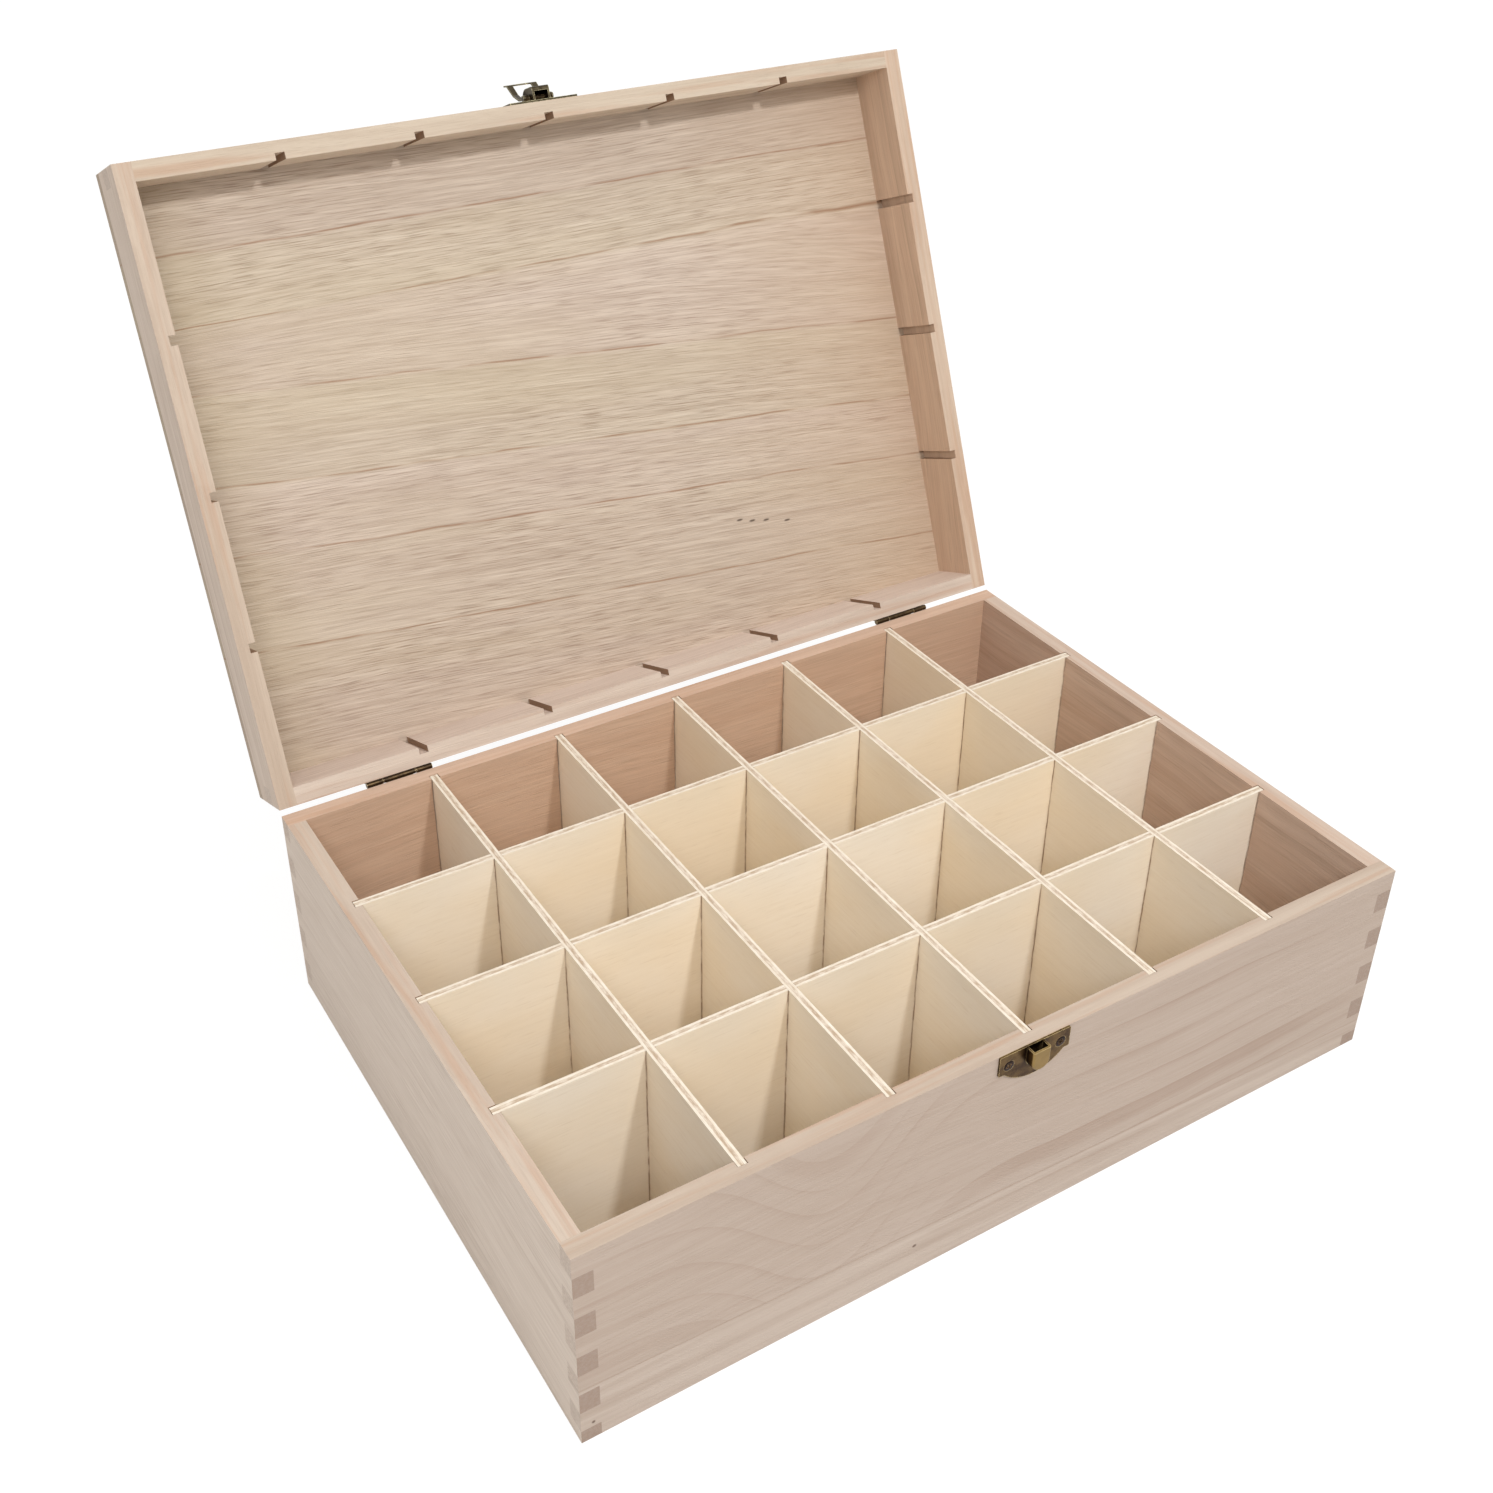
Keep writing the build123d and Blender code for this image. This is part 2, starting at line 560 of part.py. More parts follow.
def all_pieces():
    """Every piece of the box by name, with the lid open."""
    pieces = base_pieces()
    pieces.update(divider_pieces())
    pieces.update({name: open_lid(shape) for name, shape in lid_pieces().items()})
    pieces.update(hinge_pieces("hinge_left", -HINGE_CENTRE))
    pieces.update(hinge_pieces("hinge_right", HINGE_CENTRE))
    pieces["catch_plate"] = catch_plate()
    pieces["latch_plate"] = open_lid(latch_plate())
    pieces["latch_pin"] = open_lid(latch_pin())
    pieces["hasp"] = open_lid(hasp())
    pieces.update(screw_groups())
    return pieces


os.makedirs("parts", exist_ok=True)
for node, piece in all_pieces().items():
    export_step(piece, f"parts/{node}.step")
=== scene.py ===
import bmesh
import bpy
import json
import math
from mathutils import Matrix, Vector


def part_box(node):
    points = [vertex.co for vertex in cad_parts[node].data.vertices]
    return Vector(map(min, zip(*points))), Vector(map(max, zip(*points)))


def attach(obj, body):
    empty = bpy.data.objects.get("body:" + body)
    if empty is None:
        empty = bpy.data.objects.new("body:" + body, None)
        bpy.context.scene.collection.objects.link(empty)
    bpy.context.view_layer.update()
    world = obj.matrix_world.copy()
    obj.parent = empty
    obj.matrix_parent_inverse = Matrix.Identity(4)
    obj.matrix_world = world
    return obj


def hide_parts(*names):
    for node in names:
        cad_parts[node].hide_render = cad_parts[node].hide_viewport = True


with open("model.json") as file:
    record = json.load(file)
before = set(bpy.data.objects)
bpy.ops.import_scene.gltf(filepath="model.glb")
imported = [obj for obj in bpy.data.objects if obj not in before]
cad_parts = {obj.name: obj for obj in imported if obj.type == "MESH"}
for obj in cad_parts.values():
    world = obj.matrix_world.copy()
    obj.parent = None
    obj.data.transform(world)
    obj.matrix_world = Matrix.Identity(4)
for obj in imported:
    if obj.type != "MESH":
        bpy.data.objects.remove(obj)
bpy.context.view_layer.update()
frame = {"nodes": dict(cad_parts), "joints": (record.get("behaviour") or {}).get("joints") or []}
NODES = frame["nodes"]
JOINTS = {joint["name"]: joint for joint in frame["joints"]}

# A millimetre, in the frame's metres
MM = 0.001

# The lid stands open in the frame, turned about its hinge from its shut place
HINGE_AXIS = Vector(JOINTS["lid_hinge"]["pos_m"])
LID_OPEN_ANGLE = math.radians(JOINTS["lid_hinge"]["range_deg"][1])
FRONT_OF_BASE = Vector((0.0, -1.0, 0.0))
FRONT_OF_LID = Matrix.Rotation(-LID_OPEN_ANGLE, 3, "X") @ FRONT_OF_BASE

# Turns that bring a board's grain along X and its broad face square to Y
ALONG_X = (0.0, 0.0, 0.0)
ALONG_Y = (0.0, 0.0, math.radians(90.0))
LYING_FLAT = (math.radians(90.0), 0.0, 0.0)


def srgb(red, green, blue):
    """A colour given as screen values from 0 to 255, as the linear colour that a node holds."""
    def linear(value):
        share = value / 255.0
        return share / 12.92 if share <= 0.04045 else ((share + 0.055) / 1.055) ** 2.4
    return (linear(red), linear(green), linear(blue), 1.0)


class Graph:
    """A short way to write down a material's nodes."""

    def __init__(self, name):
        self.material = bpy.data.materials.new(name)
        self.material.use_nodes = True
        self.tree = self.material.node_tree
        self.tree.nodes.clear()
        self.output = self.tree.nodes.new("ShaderNodeOutputMaterial")

    def add(self, kind, inputs=None, **settings):
        """A node of a kind, with its settings and with its inputs set to values or joined to sockets."""
        node = self.tree.nodes.new(kind)
        for key, value in settings.items():
            setattr(node, key, value)
        for key, value in (inputs or {}).items():
            self.join(node.inputs[key], value)
        return node

    def join(self, socket, value):
        """Links a socket to another, or sets it to a plain value."""
        if isinstance(value, bpy.types.NodeSocket):
            self.tree.links.new(value, socket)
        else:
            socket.default_value = value

    def math(self, operation, first, second=0.0, third=0.0):
        return self.add("ShaderNodeMath", {0: first, 1: second, 2: third}, operation=operation).outputs[0]

    def product(self, *factors):
        result = factors[0]
        for factor in factors[1:]:
            result = self.math("MULTIPLY", result, factor)
        return result

    def vector(self, operation, first, second=(0.0, 0.0, 0.0)):
        return self.add("ShaderNodeVectorMath", {0: first, 1: second}, operation=operation).outputs[0]

    def parts(self, vector):
        return self.add("ShaderNodeSeparateXYZ", {0: vector}).outputs

    def combine(self, along, across, up):
        return self.add("ShaderNodeCombineXYZ", {0: along, 1: across, 2: up}).outputs[0]

    def turned(self, vector, turn, kind="POINT"):
        inputs = {"Vector": vector, "Rotation": turn}
        return self.add("ShaderNodeMapping", inputs, vector_type=kind).outputs[0]

    def noise(self, vector, fineness, detail=2.0, roughness=0.5):
        """Noise that changes so many times in a metre along each axis."""
        scaled = self.vector("MULTIPLY", vector, fineness)
        node = self.add("ShaderNodeTexNoise", {
            "Vector": scaled, "Scale": 1.0, "Detail": detail, "Roughness": roughness,
        })
        return node.outputs["Fac"]

    def spread(self, value, low, high, to_low=0.0, to_high=1.0):
        """Maps a range of values to another, clamped."""
        return self.add("ShaderNodeMapRange", {0: value, 1: low, 2: high, 3: to_low, 4: to_high}).outputs[0]

    def near(self, value, middle, width):
        """1 where a value is at the middle, falling to 0 at the width from it."""
        offset = self.math("ABSOLUTE", self.math("SUBTRACT", value, middle))
        return self.spread(offset, width, 0.0)

    def mix(self, share, first, second):
        return self.add("ShaderNodeMix", {0: share, 6: first, 7: second}, data_type="RGBA").outputs[2]

    def bump(self, height, strength, distance):
        inputs = {"Height": height, "Strength": strength, "Distance": distance}
        return self.add("ShaderNodeBump", inputs).outputs[0]

    def surface(self, **inputs):
        """Ends the graph in a principled surface."""
        shader = self.add("ShaderNodeBsdfPrincipled")
        for key, value in inputs.items():
            self.join(shader.inputs[key.replace("_", " ")], value)
        self.tree.links.new(shader.outputs[0], self.output.inputs["Surface"])
        return self.material


class WorldGraph(Graph):
    """The same short way, for the world's nodes."""

    def __init__(self, name):
        world = bpy.data.worlds.new(name)
        world.use_nodes = True
        self.tree = world.node_tree
        self.tree.nodes.clear()
        self.output = self.tree.nodes.new("ShaderNodeOutputWorld")
        bpy.context.scene.world = world


def set_material(obj, material):
    obj.data.materials.clear()
    obj.data.materials.append(material)


SHARP_EDGE_ANGLE = math.radians(40.0)


def soften_edges(obj, width, segments=2):
    """Breaks an object's sharp edges."""
    bevel = obj.modifiers.new("edges", "BEVEL")
    bevel.width = width
    bevel.segments = segments
    bevel.limit_method = "ANGLE"
    bevel.angle_limit = SHARP_EDGE_ANGLE
    bevel.harden_normals = True


def board_coordinates(graph, on_lid, turn):
    """A board's own point and normal, with its lid shut, its grain along X and its broad face square to Y."""
    source = graph.add("ShaderNodeTexCoord")
    point = source.outputs["Object"]
    normal = source.outputs["Normal"]
    if on_lid:
        point = graph.vector("SUBTRACT", point, HINGE_AXIS)
        point = graph.turned(point, (LID_OPEN_ANGLE, 0, 0))
        point = graph.vector("ADD", point, HINGE_AXIS)
        normal = graph.turned(normal, (LID_OPEN_ANGLE, 0, 0), kind="NORMAL")
    if any(turn):
        point = graph.turned(point, turn)
        normal = graph.turned(normal, turn, kind="NORMAL")
    return point, normal


# Solid wood. How often each part of its figure changes in a metre along, across and up the board
SLOW_WANDER = (2.2, 4.0, 4.0)
QUICK_WANDER = (9.0, 16.0, 16.0)
BANDS = (1.5, 24.0, 24.0)
STREAKS = (5.0, 210.0, 210.0)
RING_PATCHES = (6.0, 22.0, 22.0)
RING_DRIFT = (1.0, 1.0, 55.0)
FIBRES = (26.0, 1300.0, 1300.0)
PORES = (62.0, 2100.0, 2100.0)
PORE_CROWDS = (7.0, 30.0, 30.0)
RIM_PATCHES = (9.0, 260.0, 30.0)
END_SPECKLE = (300.0, 700.0, 1100.0)

# How far the grain wanders up and down, how far apart growth lines are and how uneven they are
SLOW_WANDER_DEPTH = 50 * MM
QUICK_WANDER_DEPTH = 8 * MM
RING_PITCH = 15 * MM
RING_UNEVENNESS = 2.4

# A growth line darkens slowly over its ring and ends at once
RING_DARKENS = (0.35, 0.96)
RING_ENDS = (1.0, 0.97)
RING_SHARPNESS = 3.5

# The values of the noise between which each part of the figure sets in
BANDS_TURN_DARK = (0.41, 0.59)
RINGS_SHOW = (0.47, 0.66)
FIBRES_SHOW = (0.3, 0.7)
PORES_SHOW = (0.54, 0.68)
PALE_PORES_SHOW = (0.44, 0.30)
PORES_CROWD = (0.35, 0.65, 0.3, 1.0)
RIM_STREAKS_SHOW = (0.35, 0.65, 0.0, 0.3)
RIM_PATCHES_SHOW = (0.50, 0.64, 0.0, 0.6)
END_SPECKLE_SHOWS = (0.35, 0.65, 0.0, 0.4)

# How squarely a surface must face a way to count as that face, and how strongly its colour then shows
OUTER_FACE = (0.5, 0.8)
END_FACE = (0.6, 0.9)
RIM_FACE = (0.6, 0.9, 0.0, 0.75)

PALE_FIBRE = srgb(232, 219, 203)
PALE_FIBRE_SHARE = 0.5
BROWN_PATCH = srgb(184, 147, 120)
SLOT_GRAIN = srgb(156, 126, 102)
SLOT_GRAIN_BLUR = 1 * MM
PORE_DEPTH_SHARE = 0.7
WOOD_ROUGHNESS = (0.68, 0.56)
WOOD_GLOSS = 0.3
WOOD_BUMP = (0.4, 0.2 * MM)


def offset_by_seed(graph, point, seed):
    """A point moved so far that boards with other seeds get another figure."""
    return graph.vector("ADD", point, (seed * 1.7, seed * 0.9, seed * 0.4))


def wandering_level(graph, own, up):
    """A point's height across the grain, which wanders up and down along the board."""
    slow = graph.noise(own, SLOW_WANDER, detail=1.0)
    quick = graph.noise(own, QUICK_WANDER)
    level = graph.math("MULTIPLY_ADD", slow, SLOW_WANDER_DEPTH, up)
    return graph.math("MULTIPLY_ADD", quick, QUICK_WANDER_DEPTH, level)


def growth_lines(graph, own, level, clearness, seed):
    """Lines at uneven distances, each dark on one side only, that come and go except where they are clear."""
    uneven = graph.noise(graph.combine(seed, 0.0, level), RING_DRIFT, detail=1.0)
    rings = graph.math("MULTIPLY_ADD", uneven, RING_UNEVENNESS, graph.math("DIVIDE", level, RING_PITCH))
    ring = graph.math("FRACT", rings)
    darkness = graph.product(graph.spread(ring, *RING_DARKENS), graph.spread(ring, *RING_ENDS))
    late = graph.math("POWER", darkness, RING_SHARPNESS)
    patches = graph.spread(graph.noise(own, RING_PATCHES, detail=1.0), *RINGS_SHOW)
    return graph.product(late, graph.math("MAXIMUM", patches, clearness))


def add_fibres(graph, own, grain, colour, line, fibre_share, pore_share):
    """Fibres, and pores as short dashes, dark and pale. Gives the colour, the fibres and the dark pores."""
    fibres = graph.noise(grain, FIBRES, detail=3.0, roughness=0.6)
    colour = graph.mix(graph.spread(fibres, *FIBRES_SHOW, fibre_share, 0.0), colour, line)
    dashes = graph.noise(grain, PORES, detail=1.0)
    crowd = graph.spread(graph.noise(own, PORE_CROWDS, detail=1.0), *PORES_CROWD)
    pores = graph.spread(dashes, *PORES_SHOW)
    colour = graph.mix(graph.product(pores, crowd, pore_share), colour, line)
    pale_pores = graph.spread(dashes, *PALE_PORES_SHOW)
    colour = graph.mix(graph.product(pale_pores, crowd, pore_share, PALE_FIBRE_SHARE), colour, PALE_FIBRE)
    return colour, fibres, pores


def rim_colour(graph, own, streaks, rim, line):
    """The colour of a board's narrow faces: streaked, with browner patches."""
    streaked = graph.mix(graph.spread(streaks, *RIM_STREAKS_SHOW), rim, line)
    patches = graph.spread(graph.noise(own, RIM_PATCHES, detail=3.0), *RIM_PATCHES_SHOW)
    return graph.mix(patches, streaked, BROWN_PATCH)


def end_colour(graph, own, along, end, reach, line):
    """The colour of end grain: speckled, and browner in the slots, within the reach of the middle."""
    speckle = graph.noise(own, END_SPECKLE, detail=3.0, roughness=0.7)
    in_slot = graph.spread(graph.math("ABSOLUTE", along), reach, reach - SLOT_GRAIN_BLUR)
    plain = graph.mix(in_slot, end, SLOT_GRAIN)
    return graph.mix(graph.spread(speckle, *END_SPECKLE_SHOWS), plain, line)


def wood(name, light, dark, line, rim=None, end=None, reach=0.0, outer=None, on_lid=False, turn=ALONG_X,
         seed=0.0, ring_share=0.4, fibre_share=0.25, pore_share=0.25, figure=None, detail=None):
    """Raw planed wood: bands, streaks and growth lines that follow a wandering grain, with fibres and pores.

    light and dark are the colours of its bands, line that of its growth lines and pores, rim that of its
    narrow faces, and end that of its end grain. End grain within the reach of the middle is a slot's. outer
    is the way that its outer face looks along Y, with that face's light and dark. figure bends the grain: it
    gives the level of the fibres, the level of the growth lines and how clear these are. detail adds what one
    board alone has."""
    graph = Graph(name)
    point, normal = board_coordinates(graph, on_lid, turn)
    along, across, up = graph.parts(point)
    facing_along, facing_across, facing_up = graph.parts(normal)
    if outer is not None:
        outward, outer_light, outer_dark = outer
        on_outer = graph.spread(graph.product(facing_across, outward), *OUTER_FACE)
        light = graph.mix(on_outer, light, outer_light)
        dark = graph.mix(on_outer, dark, outer_dark)
    own = offset_by_seed(graph, point, seed)
    level = wandering_level(graph, own, up)
    ring_level, clearness = level, 0.0
    if figure is not None:
        level, ring_level, clearness = figure(graph, along, up, level)
    grain = offset_by_seed(graph, graph.combine(along, across, level), seed)
    bands = graph.noise(grain, BANDS)
    streaks = graph.noise(grain, STREAKS, detail=4.0, roughness=0.65)
    tone = graph.math("ADD", graph.product(bands, 0.5), graph.product(streaks, 0.5))
    colour = graph.mix(graph.spread(tone, *BANDS_TURN_DARK), light, dark)
    lines = growth_lines(graph, own, ring_level, clearness, seed)
    colour = graph.mix(graph.product(lines, ring_share), colour, line)
    colour, fibres, pores = add_fibres(graph, own, grain, colour, line, fibre_share, pore_share)
    if rim is not None:
        on_rim = graph.spread(graph.math("ABSOLUTE", facing_up), *RIM_FACE)
        colour = graph.mix(on_rim, colour, rim_colour(graph, own, streaks, rim, line))
    if end is not None:
        on_end = graph.spread(graph.math("ABSOLUTE", facing_along), *END_FACE)
        colour = graph.mix(on_end, colour, end_colour(graph, own, along, end, reach, line))
    if detail is not None:
        colour = detail(graph, along, across, up, streaks, colour)
    height = graph.math("SUBTRACT", fibres, graph.product(pores, PORE_DEPTH_SHARE))
    return graph.surface(
        Base_Color=colour,
        Roughness=graph.spread(fibres, *FIBRES_SHOW, *WOOD_ROUGHNESS),
        Specular_IOR_Level=WOOD_GLOSS,
        Normal=graph.bump(height, *WOOD_BUMP),
    )


def speck(graph, along, up, place, size, colour, ink, share=0.8):
    """A small dark speck, whose size is given along and across the grain."""
    far_along = graph.math("DIVIDE", graph.math("SUBTRACT", along, place[0]), size[0])
    far_up = graph.math("DIVIDE", graph.math("SUBTRACT", up, place[1]), size[1])
    squares = graph.math("ADD", graph.product(far_along, far_along), graph.product(far_up, far_up))
    far = graph.math("SQRT", squares)
    return graph.mix(graph.spread(far, 1.0, 0.5, 0.0, share), colour, ink)


# The front board's growth lines dip into a valley left of the middle, and show more clearly towards it
VALLEY_PLACE = -0.089
VALLEY_SPREAD = 0.040
VALLEY_DEPTH = 0.046
VALLEY_CLEARNESS = (-0.035, -0.075, 0.0, 0.4)

# The strip glued on along the front board's foot, with its own straight figure
STRIP_HEIGHT = 0.0201
STRIP_SLOPE = -0.042
STRIP_EDGE_BLUR = 0.3 * MM
STRIP_FIGURE_OFFSET = 0.3
STRIP_TONE_SHARE = 0.55
STRIP_LIGHT = srgb(197, 183, 170)
STRIP_DARK = srgb(178, 161, 147)
STRIP_STREAKS_SHOW = (0.38, 0.62)
GLUE_LINE_WIDTH = 0.6 * MM
GLUE_LINE_SHARE = 0.4
GLUE_LINE = srgb(158, 132, 112)

# Pin knots on that strip, each with its place along and up the board, its length and its width
PIN_KNOTS = (
    ((-0.050, 0.014), (1.2 * MM, 0.9 * MM)),
    ((-0.188, 0.0085), (0.9 * MM, 0.9 * MM)),
)
PIN_KNOT = srgb(84, 58, 44)


def above_strip(graph, along, up):
    """How far a point of the front board lies above the strip's upper edge."""
    return graph.math("SUBTRACT", up, graph.math("MULTIPLY_ADD", along, STRIP_SLOPE, STRIP_HEIGHT))


def front_figure(graph, along, up, level):
    """The growth lines dip into a valley, as beside a branch, while the fibres run straight."""
    offset = graph.math("DIVIDE", graph.math("SUBTRACT", along, VALLEY_PLACE), VALLEY_SPREAD)
    bell = graph.math("EXPONENT", graph.product(offset, offset, -1.0))
    valley = graph.math("MULTIPLY_ADD", bell, VALLEY_DEPTH, level)
    on_strip = graph.spread(above_strip(graph, along, up), STRIP_EDGE_BLUR, -STRIP_EDGE_BLUR)
    off_strip = graph.math("SUBTRACT", 1.0, on_strip)
    straight = graph.math("MULTIPLY_ADD", along, -STRIP_SLOPE, graph.math("ADD", up, STRIP_FIGURE_OFFSET))
    strip = graph.product(on_strip, straight)
    fibre_level = graph.math("ADD", strip, graph.product(off_strip, level))
    ring_level = graph.math("ADD", strip, graph.product(off_strip, valley))
    return fibre_level, ring_level, graph.spread(along, *VALLEY_CLEARNESS)


def front_detail(graph, along, across, up, streaks, colour):
    """The paler strip along the foot with its glue line, and the pin knots on it."""
    height = above_strip(graph, along, up)
    pale = graph.mix(graph.spread(streaks, *STRIP_STREAKS_SHOW), STRIP_LIGHT, STRIP_DARK)
    on_strip = graph.spread(height, STRIP_EDGE_BLUR, -STRIP_EDGE_BLUR, 0.0, STRIP_TONE_SHARE)
    colour = graph.mix(on_strip, colour, pale)
    on_glue = graph.product(graph.near(height, 0.0, GLUE_LINE_WIDTH), GLUE_LINE_SHARE)
    colour = graph.mix(on_glue, colour, GLUE_LINE)
    for place, size in PIN_KNOTS:
        colour = speck(graph, along, up, place, size, colour, PIN_KNOT)
    return colour


# The lid's top board is glued up of strips: where each seam crosses the middle, and the tones between
SEAMS = (-0.100, -0.069, -0.025, 0.016, 0.047, 0.090)
STRIP_TONES = (
    srgb(204, 186, 172), srgb(204, 190, 168), srgb(207, 187, 176), srgb(201, 186, 163),
    srgb(207, 187, 176), srgb(204, 185, 168), srgb(200, 178, 164),
)
STRIP_TONES_SHARE = 0.25
STRIP_TONE_BLUR = 2 * MM

# The seams slope more between these places towards the hinge, and drift up and down along the board
SEAM_SLOPE = 0.092
SEAM_SLOPE_START = (-0.070, -0.040)
SEAM_DRIFT = (14.0, 1.0, 1.0)
SEAM_DRIFT_DEPTH = 4 * MM
SEAM_WIDTH = 0.7 * MM
SEAM_BREAKS = (28.0, 1.0, 300.0)
SEAM_SHOWS = (0.36, 0.54)
SEAM_SHARE = 0.8
SEAM_LINE = srgb(146, 108, 78)
GRAIN_WANDER_SHARE = 0.3

# Greenish patches, and the darker ends: where each end's darkening starts and is full, its share and its
# colour. The left end's greenish darkening is a painted shadow of the lid's left wall; the right end turns
# darker and redder towards the right
GREEN_PATCHES = (4.0, 1.0, 22.0)
GREEN_SHOWS = (0.45, 0.65)
GREEN_SHARE = 0.2
GREENISH = srgb(198, 183, 150)
PAINTED_WALL_SHADOW_AND_DARKER_END = (
    ((-0.150, -0.172), 0.28, srgb(168, 152, 122)),
    ((0.06, 0.17), 0.4, srgb(190, 160, 132)),
)

# A row of specks on the board's inner face, which fades in between these places across its thickness
INNER_FACE = (-0.1300, -0.1280)
SPECKS = ((0.071, 0.0735), (0.078, 0.0755), (0.086, 0.077), (0.098, 0.080))
SPECK_SIZE = (2.2 * MM, 0.7 * MM)
SPECK_SHARE = 0.8
SPECK = srgb(62, 46, 34)


def strip_line(graph, along, up):
    """The height of a point of the lid's board across its strips, which slope more towards the hinge."""
    slope = graph.spread(up, *SEAM_SLOPE_START, 0.0, SEAM_SLOPE)
    return graph.math("SUBTRACT", up, graph.product(along, slope))


def top_figure(graph, along, up, level):
    """The strips' grain runs with their seams."""
    wander = graph.math("SUBTRACT", level, up)
    level = graph.math("MULTIPLY_ADD", wander, GRAIN_WANDER_SHARE, strip_line(graph, along, up))
    return level, level, 0.0


def strip_tones(graph, along, height, colour):
    """Gives each strip its own tone, with greenish patches over all of them."""
    tone = STRIP_TONES[0]
    for seam, strip in zip(SEAMS, STRIP_TONES[1:]):
        tone = graph.mix(graph.spread(height, seam, seam + STRIP_TONE_BLUR), tone, strip)
    colour = graph.mix(STRIP_TONES_SHARE, colour, tone)
    patches = graph.noise(graph.combine(along, 0.0, height), GREEN_PATCHES)
    green = graph.product(graph.spread(patches, *GREEN_SHOWS), GREEN_SHARE)
    return graph.mix(green, colour, GREENISH)


def top_detail(graph, along, across, up, streaks, colour):
    """The tones of the strips, the darker ends (the left one a painted shadow of the lid's left wall), the
    thin broken seams and a row of specks.
    """
    drift = graph.noise(graph.combine(along, 0.0, 0.0), SEAM_DRIFT, detail=3.0)
    middle = graph.math("SUBTRACT", strip_line(graph, along, up), SEAM_DRIFT_DEPTH / 2)
    height = graph.math("MULTIPLY_ADD", drift, SEAM_DRIFT_DEPTH, middle)
    colour = strip_tones(graph, along, height, colour)
    # The left end's darkening is a painted shadow of the lid's left wall
    for places, share, shade in PAINTED_WALL_SHADOW_AND_DARKER_END:
        colour = graph.mix(graph.product(graph.spread(along, *places), share), colour, shade)
    for number, seam in enumerate(SEAMS):
        broken = graph.spread(graph.noise(graph.combine(along, number, height), SEAM_BREAKS), *SEAM_SHOWS)
        line = graph.product(graph.near(height, seam, SEAM_WIDTH), broken, SEAM_SHARE)
        colour = graph.mix(line, colour, SEAM_LINE)
    inside = graph.spread(across, *INNER_FACE, 0.0, SPECK_SHARE)
    for place in SPECKS:
        colour = speck(graph, along, up, place, SPECK_SIZE, colour, SPECK, share=inside)
    return colour


LINE = srgb(146, 118, 98)
END_GRAIN = srgb(160, 142, 129)
PALE_END_GRAIN = srgb(203, 188, 174)
FRONT_FACE = (srgb(184, 168, 155), srgb(178, 161, 147))
PALE_FACE = (srgb(214, 199, 184), srgb(207, 191, 175))

# The solid walls of the base and the lid: the light and dark of their bands, and the colour of their rims.
# These colours also hold painted light and shade of the open pose: the lid's front, right and back walls are
# lighter as painted light, and the base's back wall is browner and redder as painted shade
WALLS = {
    "base_front": (*FRONT_FACE, srgb(198, 182, 165)),
    "base_left": (srgb(215, 201, 187), srgb(211, 197, 183), srgb(198, 182, 166)),
    "base_right": (srgb(213, 188, 170), srgb(200, 171, 151), srgb(199, 182, 167)),
    # The back wall's browner, redder colours are painted shade
    "base_back": (srgb(220, 189, 163), srgb(210, 177, 151), srgb(208, 180, 160)),
    # The lid's front, right and back walls are made lighter as painted light
    "lid_front": (srgb(219, 203, 184), srgb(208, 190, 169), srgb(203, 188, 168)),
    "lid_left": (srgb(214, 198, 183), srgb(204, 187, 171), srgb(197, 178, 158)),
    "lid_right": (srgb(224, 197, 172), srgb(213, 183, 158), srgb(203, 183, 163)),
    "lid_back": (srgb(222, 205, 193), srgb(208, 189, 175), srgb(214, 198, 182)),
}

# How strongly growth lines, fibres and pores show on each wall
PLAIN_RING_SHARE = 0.35
RING_SHARES = {"base_front": 0.46, "base_left": 0.15, "base_back": 0.16}
FRONT_SHARES = {"fibre_share": 0.12, "pore_share": 0.1}
PLAIN_SHARES = {"fibre_share": 0.22, "pore_share": 0.25}

# The outer faces that a wall of the lid shares with the base wall it was sawn from: the way they look, with
# the wall turned to lie along X, and their light and dark
OUTER_FACES = {
    "front": (-1.0, *FRONT_FACE),
    "right": (1.0, *PALE_FACE),
    "back": (1.0, *PALE_FACE),
}

# The light and dark of the boards' bands, and the growth lines of the lid's top board
TOP_BANDS = (srgb(214, 199, 181), srgb(201, 184, 165))
TOP_LINE = srgb(120, 92, 70)
FLOOR_BANDS = (srgb(238, 220, 192), srgb(226, 204, 172))

# End grain nearer to a wall's ends than this is its corner fingers', and the rest is its slots'
FINGER_REACH = 9 * MM
WALL_SEED = 1.3
WALL_EDGE = 0.25 * MM
BOARD_EDGE = 0.2 * MM


def dress_walls():
    """The solid wood walls of the base and the lid, each with its own figure."""
    for number, (name, (light, dark, rim)) in enumerate(WALLS.items()):
        body, side = name.split("_")
        is_front = name == "base_front"
        is_side = side in ("left", "right")
        shares = FRONT_SHARES if is_front else PLAIN_SHARES
        low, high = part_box(f"base_{side}")
        half = (high[1] - low[1] if is_side else high[0] - low[0]) / 2
        material = wood(
            f"{name}_wood", light, dark, LINE, rim=rim, end=END_GRAIN if is_side else PALE_END_GRAIN,
            reach=half - FINGER_REACH, outer=OUTER_FACES.get(side), on_lid=body == "lid",
            turn=ALONG_Y if is_side else ALONG_X, seed=WALL_SEED * number,
            ring_share=RING_SHARES.get(name, PLAIN_RING_SHARE), **shares,
            figure=front_figure if is_front else None, detail=front_detail if is_front else None,
        )
        set_material(NODES[name], material)
        soften_edges(NODES[name], WALL_EDGE)


